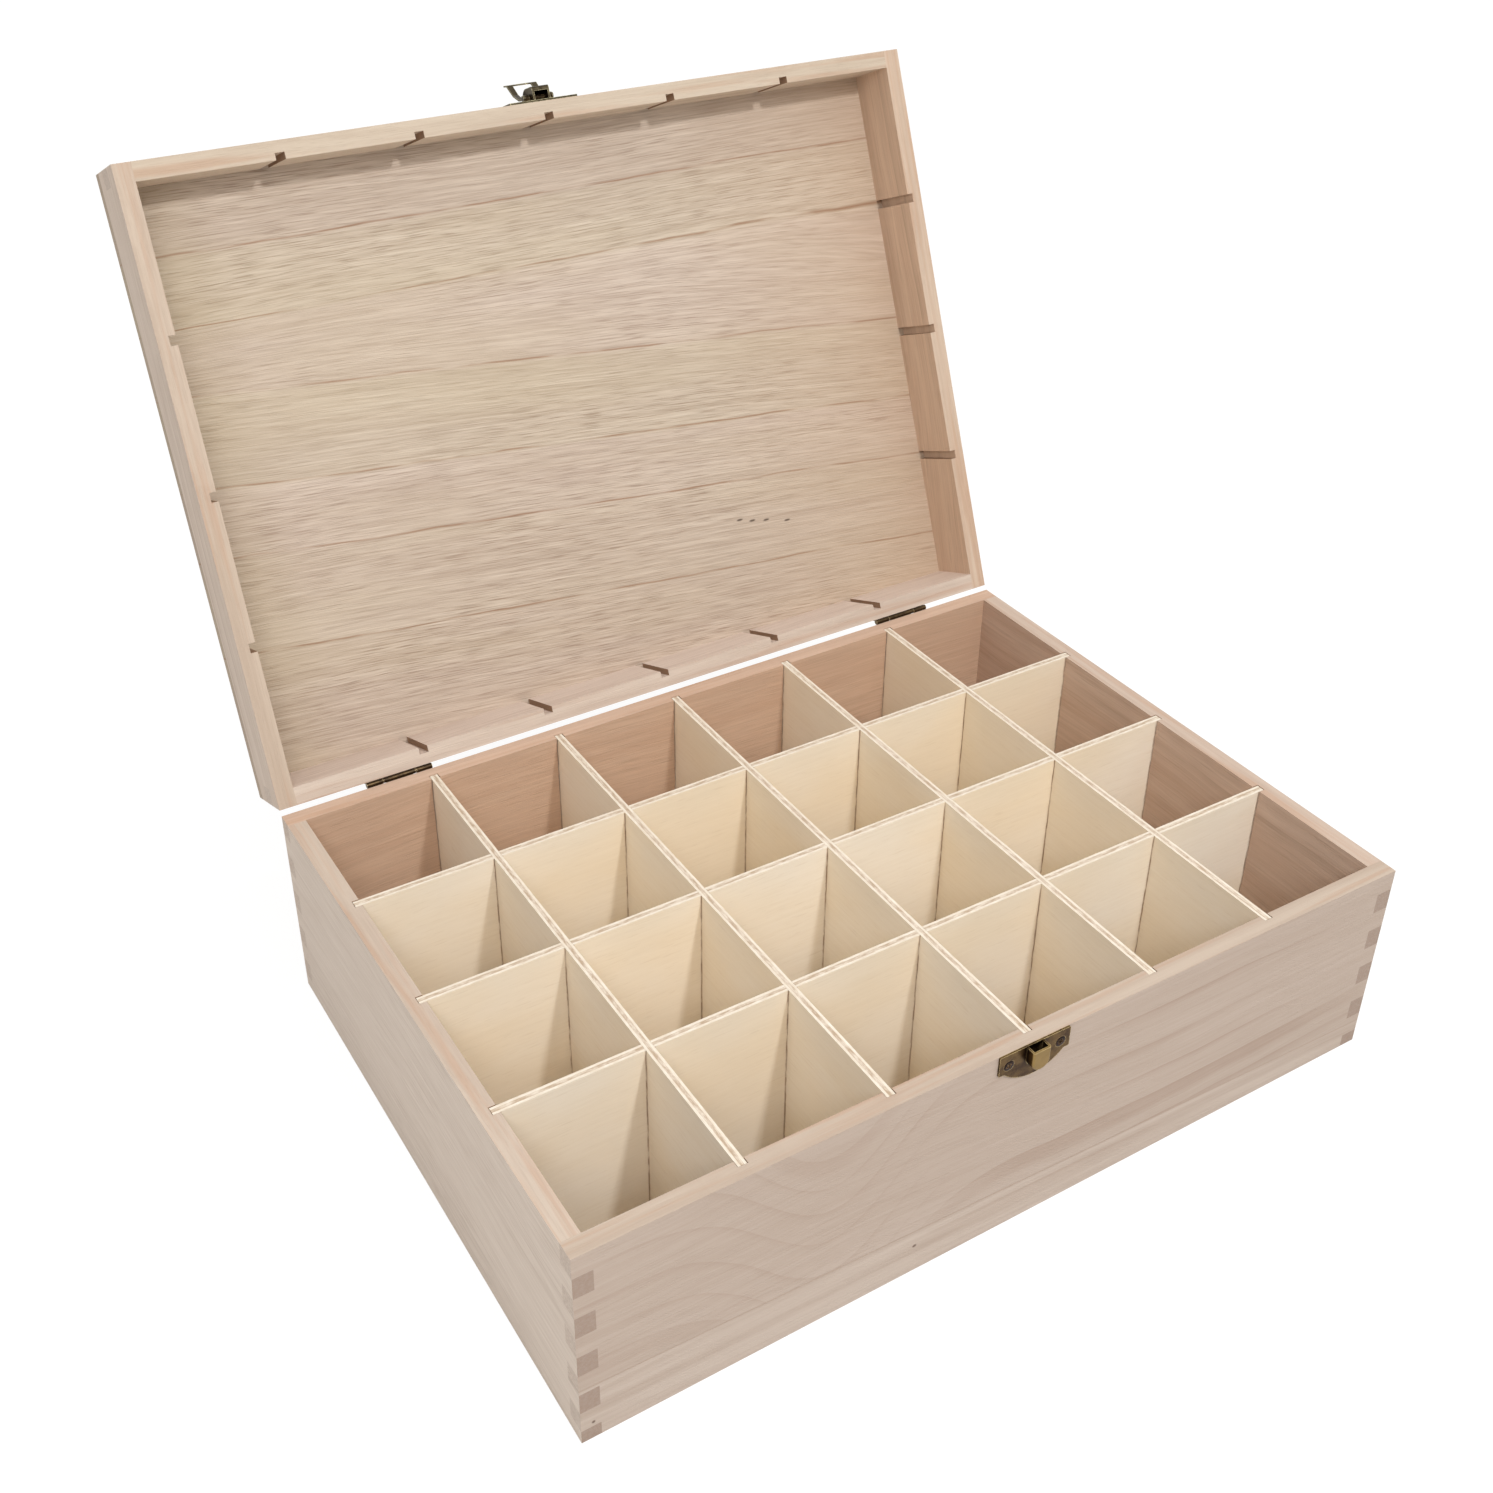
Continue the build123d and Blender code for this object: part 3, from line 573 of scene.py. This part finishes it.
def dress_boards():
    """The lid's top board, glued up of strips, and the floor board."""
    top = wood(
        "lid_top_wood", *TOP_BANDS, TOP_LINE, end=END_GRAIN, on_lid=True, turn=LYING_FLAT, seed=11.0,
        ring_share=0.15, fibre_share=0.5, pore_share=0.75, figure=top_figure, detail=top_detail,
    )
    floor = wood("base_floor_wood", *FLOOR_BANDS, LINE, turn=LYING_FLAT, seed=13.0)
    for name, material in (("lid_top", top), ("base_floor", floor)):
        set_material(NODES[name], material)
        soften_edges(NODES[name], BOARD_EDGE)


# Plywood. How often each part of its figure changes in a metre, and where in the noise it sets in
PLY_CLOUDS = (9.0, 9.0, 16.0)
PLY_CLOUDS_SHOW = (0.36, 0.64)
PLY_FIBRES = (36.0, 900.0, 900.0)
PLY_FIBRES_SHOW = (0.3, 0.7)
PLY_FLECKS = (110.0, 1500.0, 1500.0)
PLY_FLECKS_SHOW = (0.64, 0.74, 0.0, 0.12)
PLY_COARSE = (170.0, 700.0, 700.0)
OUTER_PLY_SHOWS = (0.35, 0.65)
CORE_SHOWS = (0.38, 0.6)
PLY_FIBRE_SHARE = 0.10
PLY_LIGHT = srgb(250, 240, 223)
PLY_DARK = srgb(246, 231, 206)
PLY_FIBRE = srgb(204, 180, 144)
PLY_FLECK = srgb(188, 160, 122)
OUTER_PLY_LIGHT = srgb(234, 226, 212)
OUTER_PLY_DARK = srgb(219, 206, 187)
CORE_LIGHT = srgb(221, 209, 192)
CORE_DARK = srgb(182, 160, 136)

# The places of the plies, measured from the middle of the sheet
CORE_EDGE = (0.62 * MM, 0.72 * MM)
PLY_GLUE_PLACE = 0.68 * MM
PLY_GLUE_WIDTH = 0.16 * MM
PLY_GLUE_SHARE = 0.4
PLY_GLUE = srgb(174, 148, 118)

# The sawn slots of the crossing dividers leave a thin frayed line beside each of them
SLOT_SIDE = 0.2 * MM
SLOT_LINE_WIDTH = 0.4 * MM
SLOT_LINE = srgb(146, 102, 64)
SLOT_FRAY = (300.0, 300.0, 140.0)
SLOT_FRAY_SHOWS = (0.38, 0.56, 0.2, 0.9)

PLY_FACE = (0.5, 0.8)
PLY_ROUGHNESS = (0.66, 0.54)
PLY_BUMP = (0.3, 0.12 * MM)
PLY_EDGE = 0.15 * MM
PLY_FIRST_SEED = 0.4
PLY_SEED_STEP = 1.7


def ply_face(graph, own, fibres):
    """The plain creamy face of basswood, with faint clouds, fibres and flecks."""
    clouds = graph.noise(own, PLY_CLOUDS, detail=3.0)
    face = graph.mix(graph.spread(clouds, *PLY_CLOUDS_SHOW), PLY_LIGHT, PLY_DARK)
    face = graph.mix(graph.spread(fibres, *PLY_FIBRES_SHOW, PLY_FIBRE_SHARE, 0.0), face, PLY_FIBRE)
    flecks = graph.noise(own, PLY_FLECKS, detail=1.0)
    return graph.mix(graph.spread(flecks, *PLY_FLECKS_SHOW), face, PLY_FLECK)


def slot_lines(graph, own, along, crossing, face):
    """The lines beside the crossing dividers, which stand at a pitch from a first place."""
    place, pitch, side = crossing
    turns = graph.math("DIVIDE", graph.math("SUBTRACT", along, place), pitch)
    to_nearest = graph.math("SUBTRACT", graph.math("FRACT", graph.math("ADD", turns, 0.5)), 0.5)
    distance = graph.product(graph.math("ABSOLUTE", to_nearest), pitch)
    frayed = graph.spread(graph.noise(own, SLOT_FRAY), *SLOT_FRAY_SHOWS)
    return graph.mix(graph.product(graph.near(distance, side, SLOT_LINE_WIDTH), frayed), face, SLOT_LINE)


def ply_edge(graph, coarse, offset):
    """A darker, coarser core between pale outer plies, with a thin glue line on each side of it."""
    outer = graph.mix(graph.spread(coarse, *OUTER_PLY_SHOWS), OUTER_PLY_LIGHT, OUTER_PLY_DARK)
    core = graph.mix(graph.spread(coarse, *CORE_SHOWS), CORE_LIGHT, CORE_DARK)
    edge = graph.mix(graph.spread(offset, *CORE_EDGE, 1.0, 0.0), outer, core)
    on_glue = graph.product(graph.near(offset, PLY_GLUE_PLACE, PLY_GLUE_WIDTH), PLY_GLUE_SHARE)
    return graph.mix(on_glue, edge, PLY_GLUE)


def plywood(name, turn, centre, seed, crossing):
    """Thin plywood: a face, and edges that show its plies. centre is the place of the middle of the sheet."""
    graph = Graph(name)
    point, normal = board_coordinates(graph, False, turn)
    along, across, _ = graph.parts(point)
    own = graph.vector("ADD", point, (seed * 1.3, seed * 0.7, seed * 2.1))
    fibres = graph.noise(own, PLY_FIBRES, detail=3.0, roughness=0.6)
    coarse = graph.noise(own, PLY_COARSE, detail=3.0, roughness=0.75)
    face = slot_lines(graph, own, along, crossing, ply_face(graph, own, fibres))
    offset = graph.math("ABSOLUTE", graph.math("SUBTRACT", across, centre))
    on_face = graph.spread(graph.math("ABSOLUTE", graph.parts(normal)[1]), *PLY_FACE)
    return graph.surface(
        Base_Color=graph.mix(on_face, ply_edge(graph, coarse, offset), face),
        Roughness=graph.spread(fibres, *PLY_FIBRES_SHOW, *PLY_ROUGHNESS),
        Specular_IOR_Level=WOOD_GLOSS,
        Normal=graph.bump(graph.math("ADD", fibres, coarse), *PLY_BUMP),
    )


def divider_row(kind, axis):
    """The first place of a kind of divider along an axis, their pitch, and how far their slots reach out."""
    low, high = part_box(f"divider_{kind}_1")
    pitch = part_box(f"divider_{kind}_2")[0][axis] - low[axis]
    return (low[axis] + high[axis]) / 2, pitch, (high[axis] - low[axis]) / 2 + SLOT_SIDE


def dress_dividers():
    """The plywood dividers, each with its own figure and the lines of those that cross it."""
    short_row = divider_row("short", 0)
    place, pitch, side = divider_row("long", 1)
    # Turned to lie along X, a short divider has its places on Y with their sign changed
    long_row = (-place, pitch, side)
    for number, name in enumerate(name for name in NODES if name.startswith("divider")):
        is_long = name.startswith("divider_long")
        turn, thin_axis, crossing = (ALONG_X, 1, short_row) if is_long else (ALONG_Y, 0, long_row)
        low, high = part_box(name)
        centre = (low[thin_axis] + high[thin_axis]) / 2
        seed = PLY_SEED_STEP * number + PLY_FIRST_SEED
        set_material(NODES[name], plywood(f"{name}_ply", turn, centre, seed, crossing))
        soften_edges(NODES[name], PLY_EDGE, segments=1)


# Bronze plating. How often each part of its figure changes in a metre, and where in the noise it sets in
BRONZE_CLOUDS = (140.0, 140.0, 140.0)
BRONZE_CLOUDS_SHOW = (0.40, 0.60)
BRONZE_MOTTLE = (700.0, 700.0, 700.0)
BRONZE_MOTTLE_SHOWS = (0.45, 0.7, 0.0, 0.45)
BRONZE_SCRATCHES = (300.0, 3800.0, 3800.0)
SCRATCH_DEPTH_SHARE = 0.3

# An edge is bright where the surface bends within this distance: partly rubbed wear, partly a painted
# highlight along every edge
WORN_AND_HIGHLIT_DISTANCE = 0.5 * MM
WORN_AND_HIGHLIT_BEND = (0.995, 0.90)
WORN_AND_HIGHLIT_MOTTLE = (0.35, 0.6, 0.4, 1.0)
WORN_AND_HIGHLIT_SHARE = 0.85

# A place is sheltered, or deep in a hollow, where little open space lies within this distance of it
SHELTER_DISTANCE = 4 * MM
SHELTERED_OPENNESS = (0.95, 0.6)
SHELTERED_SHARE = 0.8
SHELTERED = srgb(44, 28, 19)
DEEP_OPENNESS = (0.5, 0.2)
DEEP = srgb(120, 98, 64)
DEEP_METALLIC = 0.15

# What stands this far out from the box's front is rubbed by hands
HANDLED_REACH = (2.0 * MM, 4.3 * MM)
HANDLED = srgb(168, 140, 88)

BRONZE_ROUGHNESS = (0.3, 0.7, 0.26, 0.44)
BRONZE_BUMP = (0.25, 0.04 * MM)


def worn_and_highlit_edges(graph, mottle):
    """1 along an edge, less where the plating holds better: where edges are worn bright and where a highlight
    is painted on them.
    """
    rounded = graph.add("ShaderNodeBevel", {"Radius": WORN_AND_HIGHLIT_DISTANCE}, samples=4).outputs[0]
    flat = graph.add("ShaderNodeNewGeometry").outputs["Normal"]
    bend = graph.add("ShaderNodeVectorMath", {0: rounded, 1: flat}, operation="DOT_PRODUCT").outputs["Value"]
    return graph.product(graph.spread(bend, *WORN_AND_HIGHLIT_BEND), graph.spread(mottle, *WORN_AND_HIGHLIT_MOTTLE))


def bronze(name, hollow, face, worn_and_highlit, handling=0.0, on_lid=False, seed=0.0):
    """Antique bronze plating: dark and reddish where it is sheltered, and bright along its edges, partly
    rubbed and partly a painted highlight.

    hollow and face are the colours that it is mottled with, and worn_and_highlit that of its edges, which is
    partly a painted highlight. handling is how far what stands out furthest from the box is rubbed to gold.
    what stands out furthest from the box is rubbed to gold."""
    graph = Graph(name)
    place = board_coordinates(graph, on_lid, ALONG_X)[0]
    point = graph.vector("ADD", place, (seed, seed * 0.5, seed * 0.2))
    clouds = graph.noise(point, BRONZE_CLOUDS, detail=3.0, roughness=0.6)
    mottle = graph.noise(point, BRONZE_MOTTLE, detail=4.0, roughness=0.65)
    scratches = graph.noise(point, BRONZE_SCRATCHES)
    shelter = graph.add("ShaderNodeAmbientOcclusion", {"Distance": SHELTER_DISTANCE}, samples=8)
    openness = shelter.outputs["AO"]
    sheltered = graph.spread(openness, *SHELTERED_OPENNESS)
    deep = graph.spread(openness, *DEEP_OPENNESS)
    colour = graph.mix(graph.spread(clouds, *BRONZE_CLOUDS_SHOW), hollow, face)
    colour = graph.mix(graph.spread(mottle, *BRONZE_MOTTLE_SHOWS), colour, face)
    colour = graph.mix(graph.product(sheltered, SHELTERED_SHARE), colour, SHELTERED)
    colour = graph.mix(deep, colour, DEEP)
    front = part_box("base_front")[0][1]
    handled = graph.spread(graph.parts(place)[1], *(front - reach for reach in HANDLED_REACH))
    colour = graph.mix(graph.product(handled, handling), colour, HANDLED)
    # Edges worn bright, with a painted highlight along them
    colour = graph.mix(graph.product(worn_and_highlit_edges(graph, mottle), WORN_AND_HIGHLIT_SHARE), colour, worn_and_highlit)
    height = graph.math("MULTIPLY_ADD", scratches, SCRATCH_DEPTH_SHARE, mottle)
    return graph.surface(
        Base_Color=colour,
        Metallic=graph.spread(deep, 0.0, 1.0, 1.0, DEEP_METALLIC),
        Roughness=graph.spread(mottle, *BRONZE_ROUGHNESS),
        Normal=graph.bump(height, *BRONZE_BUMP),
    )


# The screws. The sizes named shares are shares of the head's radius
SCREW_SIDES = 64
SHANK_SHARE = 0.44
TIP_SHARE = 0.3 * SHANK_SHARE
POINT_LENGTH_SHARE = 2 * SHANK_SHARE
NECK_DEPTH = 1.2 * MM
RIM_DEPTH = 0.05 * MM

# The head, from below its rim to its recess: heights above the plain screw's top, and radius shares
HEAD_PROFILE = (
    (-0.35 * MM, 0.94), (-0.12 * MM, 1.0), (-0.03 * MM, 0.985), (0.03 * MM, 0.90), (0.09 * MM, 0.72),
)

# The cross recess: its arms' length and half width, its depth, how much smaller its foot is, and its soft lip
CROSS_ARM_SHARE = 0.56
CROSS_WIDTH_SHARE = 0.15
CROSS_DEPTH_SHARE = 0.42
CROSS_FOOT_SHARE = 0.45
CROSS_LIP_SHARE = 0.025
CROSS_LIP_HEIGHT = 0.10 * MM
CROSS_EDGE_HEIGHT = 0.07 * MM

# Each screw is turned further than the one before it, in radians
FIRST_SCREW_TURN = 0.5
NEXT_SCREW_TURN = 2.3

SAME_POINT = 0.001 * MM
SCREW_SHARP_ANGLE = math.radians(35.0)

# The body that each group of screws rides on, and the way its heads look
SCREWS = {
    "catch_screws": ("base", FRONT_OF_BASE),
    "latch_screws": ("lid", FRONT_OF_LID),
    "hinge_screws_base": ("base", -FRONT_OF_BASE),
    "hinge_screws_lid": ("lid", -FRONT_OF_LID),
}


def cross_reach(angle):
    """How far a cross-shaped recess reaches from its middle at an angle, for a head of radius 1."""
    quarter = math.pi / 2
    lean = abs((angle + quarter / 2) % quarter - quarter / 2)
    end = CROSS_ARM_SHARE / math.cos(lean)
    side = CROSS_WIDTH_SHARE / max(math.sin(lean), 0.001)
    return min(end, side)


def loose_solids(node):
    """The points of each separate solid in a node's mesh."""
    mesh = bmesh.new()
    mesh.from_mesh(NODES[node].data)
    bmesh.ops.remove_doubles(mesh, verts=mesh.verts, dist=SAME_POINT)
    left = set(mesh.verts)
    solids = []
    for start in mesh.verts:
        if start not in left:
            continue
        left.remove(start)
        queue = [start]
        solid = []
        while queue:
            vert = queue.pop()
            solid.append(vert.co.copy())
            for edge in vert.link_edges:
                other = edge.other_vert(vert)
                if other in left:
                    left.remove(other)
                    queue.append(other)
        solids.append(solid)
    mesh.free()
    return sorted(solids, key=lambda points: (points[0].x, points[0].z))


def build_screw(mesh, points, out, turn):
    """Adds a cross-headed screw in place of a plain one, given by its points and the way its head looks."""
    top = max(point.dot(out) for point in points)
    foot = min(point.dot(out) for point in points)
    rim = [point for point in points if point.dot(out) > top - RIM_DEPTH]
    middle = sum(rim, Vector()) / len(rim)
    middle -= out * (middle.dot(out) - top)
    radius = max((point - middle).cross(out).length for point in points)
    side = Vector((1.0, 0.0, 0.0))
    up = out.cross(side)

    def ring(height, reach):
        """Points round the screw at a height above its top. reach gives the radius's share at an angle."""
        loop = []
        for number in range(SCREW_SIDES):
            angle = math.tau * number / SCREW_SIDES
            away = radius * reach(angle)
            offset = side * (math.cos(angle + turn) * away) + up * (math.sin(angle + turn) * away)
            loop.append(mesh.verts.new(middle + offset + out * height))
        return loop

    bottom = foot - top
    profile = (
        (bottom, TIP_SHARE), (bottom + radius * POINT_LENGTH_SHARE, SHANK_SHARE), (-NECK_DEPTH, SHANK_SHARE),
    ) + HEAD_PROFILE
    rings = [ring(height, lambda angle, share=share: share) for height, share in profile]
    rings.append(ring(CROSS_LIP_HEIGHT, lambda angle: cross_reach(angle) + CROSS_LIP_SHARE))
    rings.append(ring(CROSS_EDGE_HEIGHT, cross_reach))
    rings.append(ring(-radius * CROSS_DEPTH_SHARE, lambda angle: cross_reach(angle) * CROSS_FOOT_SHARE))
    for lower, upper in zip(rings, rings[1:]):
        for number in range(SCREW_SIDES):
            after = (number + 1) % SCREW_SIDES
            mesh.faces.new((lower[number], lower[after], upper[after], upper[number]))
    mesh.faces.new(list(reversed(rings[0])))
    mesh.faces.new(rings[-1])


def build_screws(material):
    """Cross-headed screws in place of the plain ones, each turned by its own angle."""
    for node, (body, out) in SCREWS.items():
        mesh = bmesh.new()
        for number, points in enumerate(loose_solids(node)):
            build_screw(mesh, points, out, FIRST_SCREW_TURN + NEXT_SCREW_TURN * number)
        bmesh.ops.recalc_face_normals(mesh, faces=mesh.faces)
        data = bpy.data.meshes.new(f"{node}_crossed")
        mesh.to_mesh(data)
        mesh.free()
        for face in data.polygons:
            face.use_smooth = True
        data.set_sharp_from_angle(angle=SCREW_SHARP_ANGLE)
        piece = bpy.data.objects.new(f"{node}_crossed", data)
        bpy.context.scene.collection.objects.link(piece)
        set_material(piece, material)
        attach(piece, body)
        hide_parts(node)


HINGE_EDGE = 0.06 * MM
LATCH_EDGE = 0.08 * MM

# Each plating: the two colours that it is mottled with, and that of its edges, worn bright and partly a
# painted highlight
CATCH_PLATING = (srgb(62, 41, 24), srgb(106, 82, 48), srgb(232, 206, 150))
LATCH_PLATING = (srgb(50, 41, 32), srgb(88, 79, 60), srgb(196, 186, 150))
HINGE_PLATING = (srgb(52, 42, 32), srgb(96, 78, 54), srgb(190, 168, 128))
# The screws' very dark colours are partly their own and partly painted shade, standing in for the shadowed
# gap round each head
SCREW_PLATING = (srgb(26, 15, 11), srgb(48, 31, 23), srgb(132, 104, 78))


def dress_metal():
    """The hinges, the latch and the screws."""
    catch = bronze("catch_bronze", *CATCH_PLATING, handling=0.6)
    latch = bronze("latch_bronze", *LATCH_PLATING, on_lid=True, seed=0.1)
    hinges = bronze("hinge_bronze", *HINGE_PLATING, seed=0.3)
    screws = bronze("screw_bronze", *SCREW_PLATING, seed=0.7)
    for name, node in NODES.items():
        if "screws" in name:
            continue
        if name.startswith("hinge"):
            set_material(node, hinges)
            soften_edges(node, HINGE_EDGE)
        elif name.startswith(("catch", "latch", "hasp")):
            set_material(node, catch if name.startswith("catch") else latch)
            soften_edges(node, LATCH_EDGE)
    build_screws(screws)


# The camera's place and the directions of its picture, solved from points of the box in the photograph
PHOTO_SIZE = 1493.0
CAMERA_PLACE = Vector((-0.35058, -0.49158, 0.56509))
CAMERA_RIGHT = Vector((0.85287, -0.522074, 0.007211))
CAMERA_DOWN = Vector((-0.271529, -0.455287, -0.84793))
CAMERA_FORWARD = Vector((0.445965, 0.721216, -0.530059))
FOCAL_PIXELS = 1784.3
OPTICAL_CENTRE_PIXELS = (737.48, 658.10)
SENSOR_WIDTH = 36.0
CLIP_START = 0.01
CLIP_END = 20.0


def place_camera():
    """The camera at the photograph's place, with its framing."""
    data = bpy.data.cameras.new("photo_camera")
    camera = bpy.data.objects.new("photo_camera", data)
    bpy.context.scene.collection.objects.link(camera)
    columns = [CAMERA_RIGHT, -CAMERA_DOWN, -CAMERA_FORWARD]
    turn = Matrix([[column[row] for column in columns] for row in range(3)]).to_4x4()
    camera.matrix_world = Matrix.Translation(CAMERA_PLACE) @ turn
    data.sensor_width = SENSOR_WIDTH
    data.sensor_fit = "HORIZONTAL"
    data.lens = FOCAL_PIXELS / PHOTO_SIZE * SENSOR_WIDTH
    data.shift_x = (PHOTO_SIZE / 2 - OPTICAL_CENTRE_PIXELS[0]) / PHOTO_SIZE
    data.shift_y = (OPTICAL_CENTRE_PIXELS[1] - PHOTO_SIZE / 2) / PHOTO_SIZE
    data.clip_start = CLIP_START
    data.clip_end = CLIP_END
    bpy.context.scene.camera = camera


# The world: warm, dim at the horizon and bright in a narrow part overhead
SKY_COLOUR = (1.0, 0.965, 0.925, 1.0)
SKY_AT_HORIZON = 0.34
SKY_OVERHEAD = 1.45
SKY_NARROWING = 2.5
WHITE = (1.0, 1.0, 1.0, 1.0)

# Each lamp: its place, its size, and the share of full light that it adds to a surface that faces it
LIGHT_AIM = Vector((0.0, 0.0, 0.08))
LAMP_COLOUR = (0.99, 1.0, 1.02)
LAMPS = {
    "front_left": (Vector((-0.68, -0.98, 1.12)), 0.45, 0.22),
    "high": (Vector((0.137, -1.0, 1.30)), 0.09, 0.37),
}


def seen_directly(graph):
    """1 for rays that show a surface to the eye or in a reflection or through glass, else 0."""
    path = graph.add("ShaderNodeLightPath")
    seen = graph.math("MAXIMUM", path.outputs["Is Camera Ray"], path.outputs["Is Glossy Ray"])
    return graph.math("MAXIMUM", seen, path.outputs["Is Transmission Ray"])


def show_to_eye(graph, plain, seen):
    """Ends the graph in one shader that the object is lit by and another that the eye sees."""
    inputs = {0: seen_directly(graph), 1: plain.outputs[0], 2: seen.outputs[0]}
    mix = graph.add("ShaderNodeMixShader", inputs)
    graph.join(graph.output.inputs["Surface"], mix.outputs[0])


def build_world():
    """A world that is brightest overhead, and white to the eye."""
    graph = WorldGraph("studio")
    height = graph.parts(graph.add("ShaderNodeTexCoord").outputs["Generated"])[2]
    overhead = graph.math("POWER", graph.spread(height, 0.0, 1.0), SKY_NARROWING)
    strength = graph.spread(overhead, 0.0, 1.0, SKY_AT_HORIZON, SKY_OVERHEAD)
    plain = graph.add("ShaderNodeBackground", {"Color": SKY_COLOUR, "Strength": strength})
    white = graph.add("ShaderNodeBackground", {"Color": WHITE, "Strength": 1.0})
    show_to_eye(graph, plain, white)


def place_lamps():
    """Soft lamps, each as bright as its distance asks for."""
    for name, (place, size, share) in LAMPS.items():
        data = bpy.data.lights.new(name, "AREA")
        data.size = size
        data.color = LAMP_COLOUR
        towards = place - LIGHT_AIM
        data.energy = share * (math.pi * towards.length) ** 2
        lamp = bpy.data.objects.new(name, data)
        lamp.location = place
        lamp.rotation_euler = towards.to_track_quat("Z", "Y").to_euler()
        bpy.context.scene.collection.objects.link(lamp)


FLOOR_REACH = 6.0
FLOOR_GREY = 0.86
FLOOR_GLOW = 0.89
FLOOR_SHADOW_GREY = 0.15


def grey(level):
    return (level, level, level, 1.0)


def build_floor():
    """A wide pale floor: white to the eye, with the object's soft shadow left on it."""
    corners = [(x * FLOOR_REACH, y * FLOOR_REACH, 0.0) for x, y in ((-1, -1), (1, -1), (1, 1), (-1, 1))]
    mesh = bpy.data.meshes.new("floor")
    mesh.from_pydata(corners, [], [(0, 1, 2, 3)])
    floor = bpy.data.objects.new("floor", mesh)
    bpy.context.scene.collection.objects.link(floor)
    graph = Graph("floor_white")
    plain = graph.add("ShaderNodeBsdfDiffuse", {"Color": grey(FLOOR_GREY)})
    shaded = graph.add("ShaderNodeBsdfDiffuse", {"Color": grey(FLOOR_SHADOW_GREY)})
    glow = graph.add("ShaderNodeEmission", {"Color": WHITE, "Strength": FLOOR_GLOW})
    seen = graph.add("ShaderNodeAddShader", {0: shaded.outputs[0], 1: glow.outputs[0]})
    show_to_eye(graph, plain, seen)
    set_material(floor, graph.material)


dress_walls()
dress_boards()
dress_dividers()
dress_metal()
place_camera()
bpy.context.scene.view_settings.view_transform = "Standard"
build_world()
place_lamps()
build_floor()
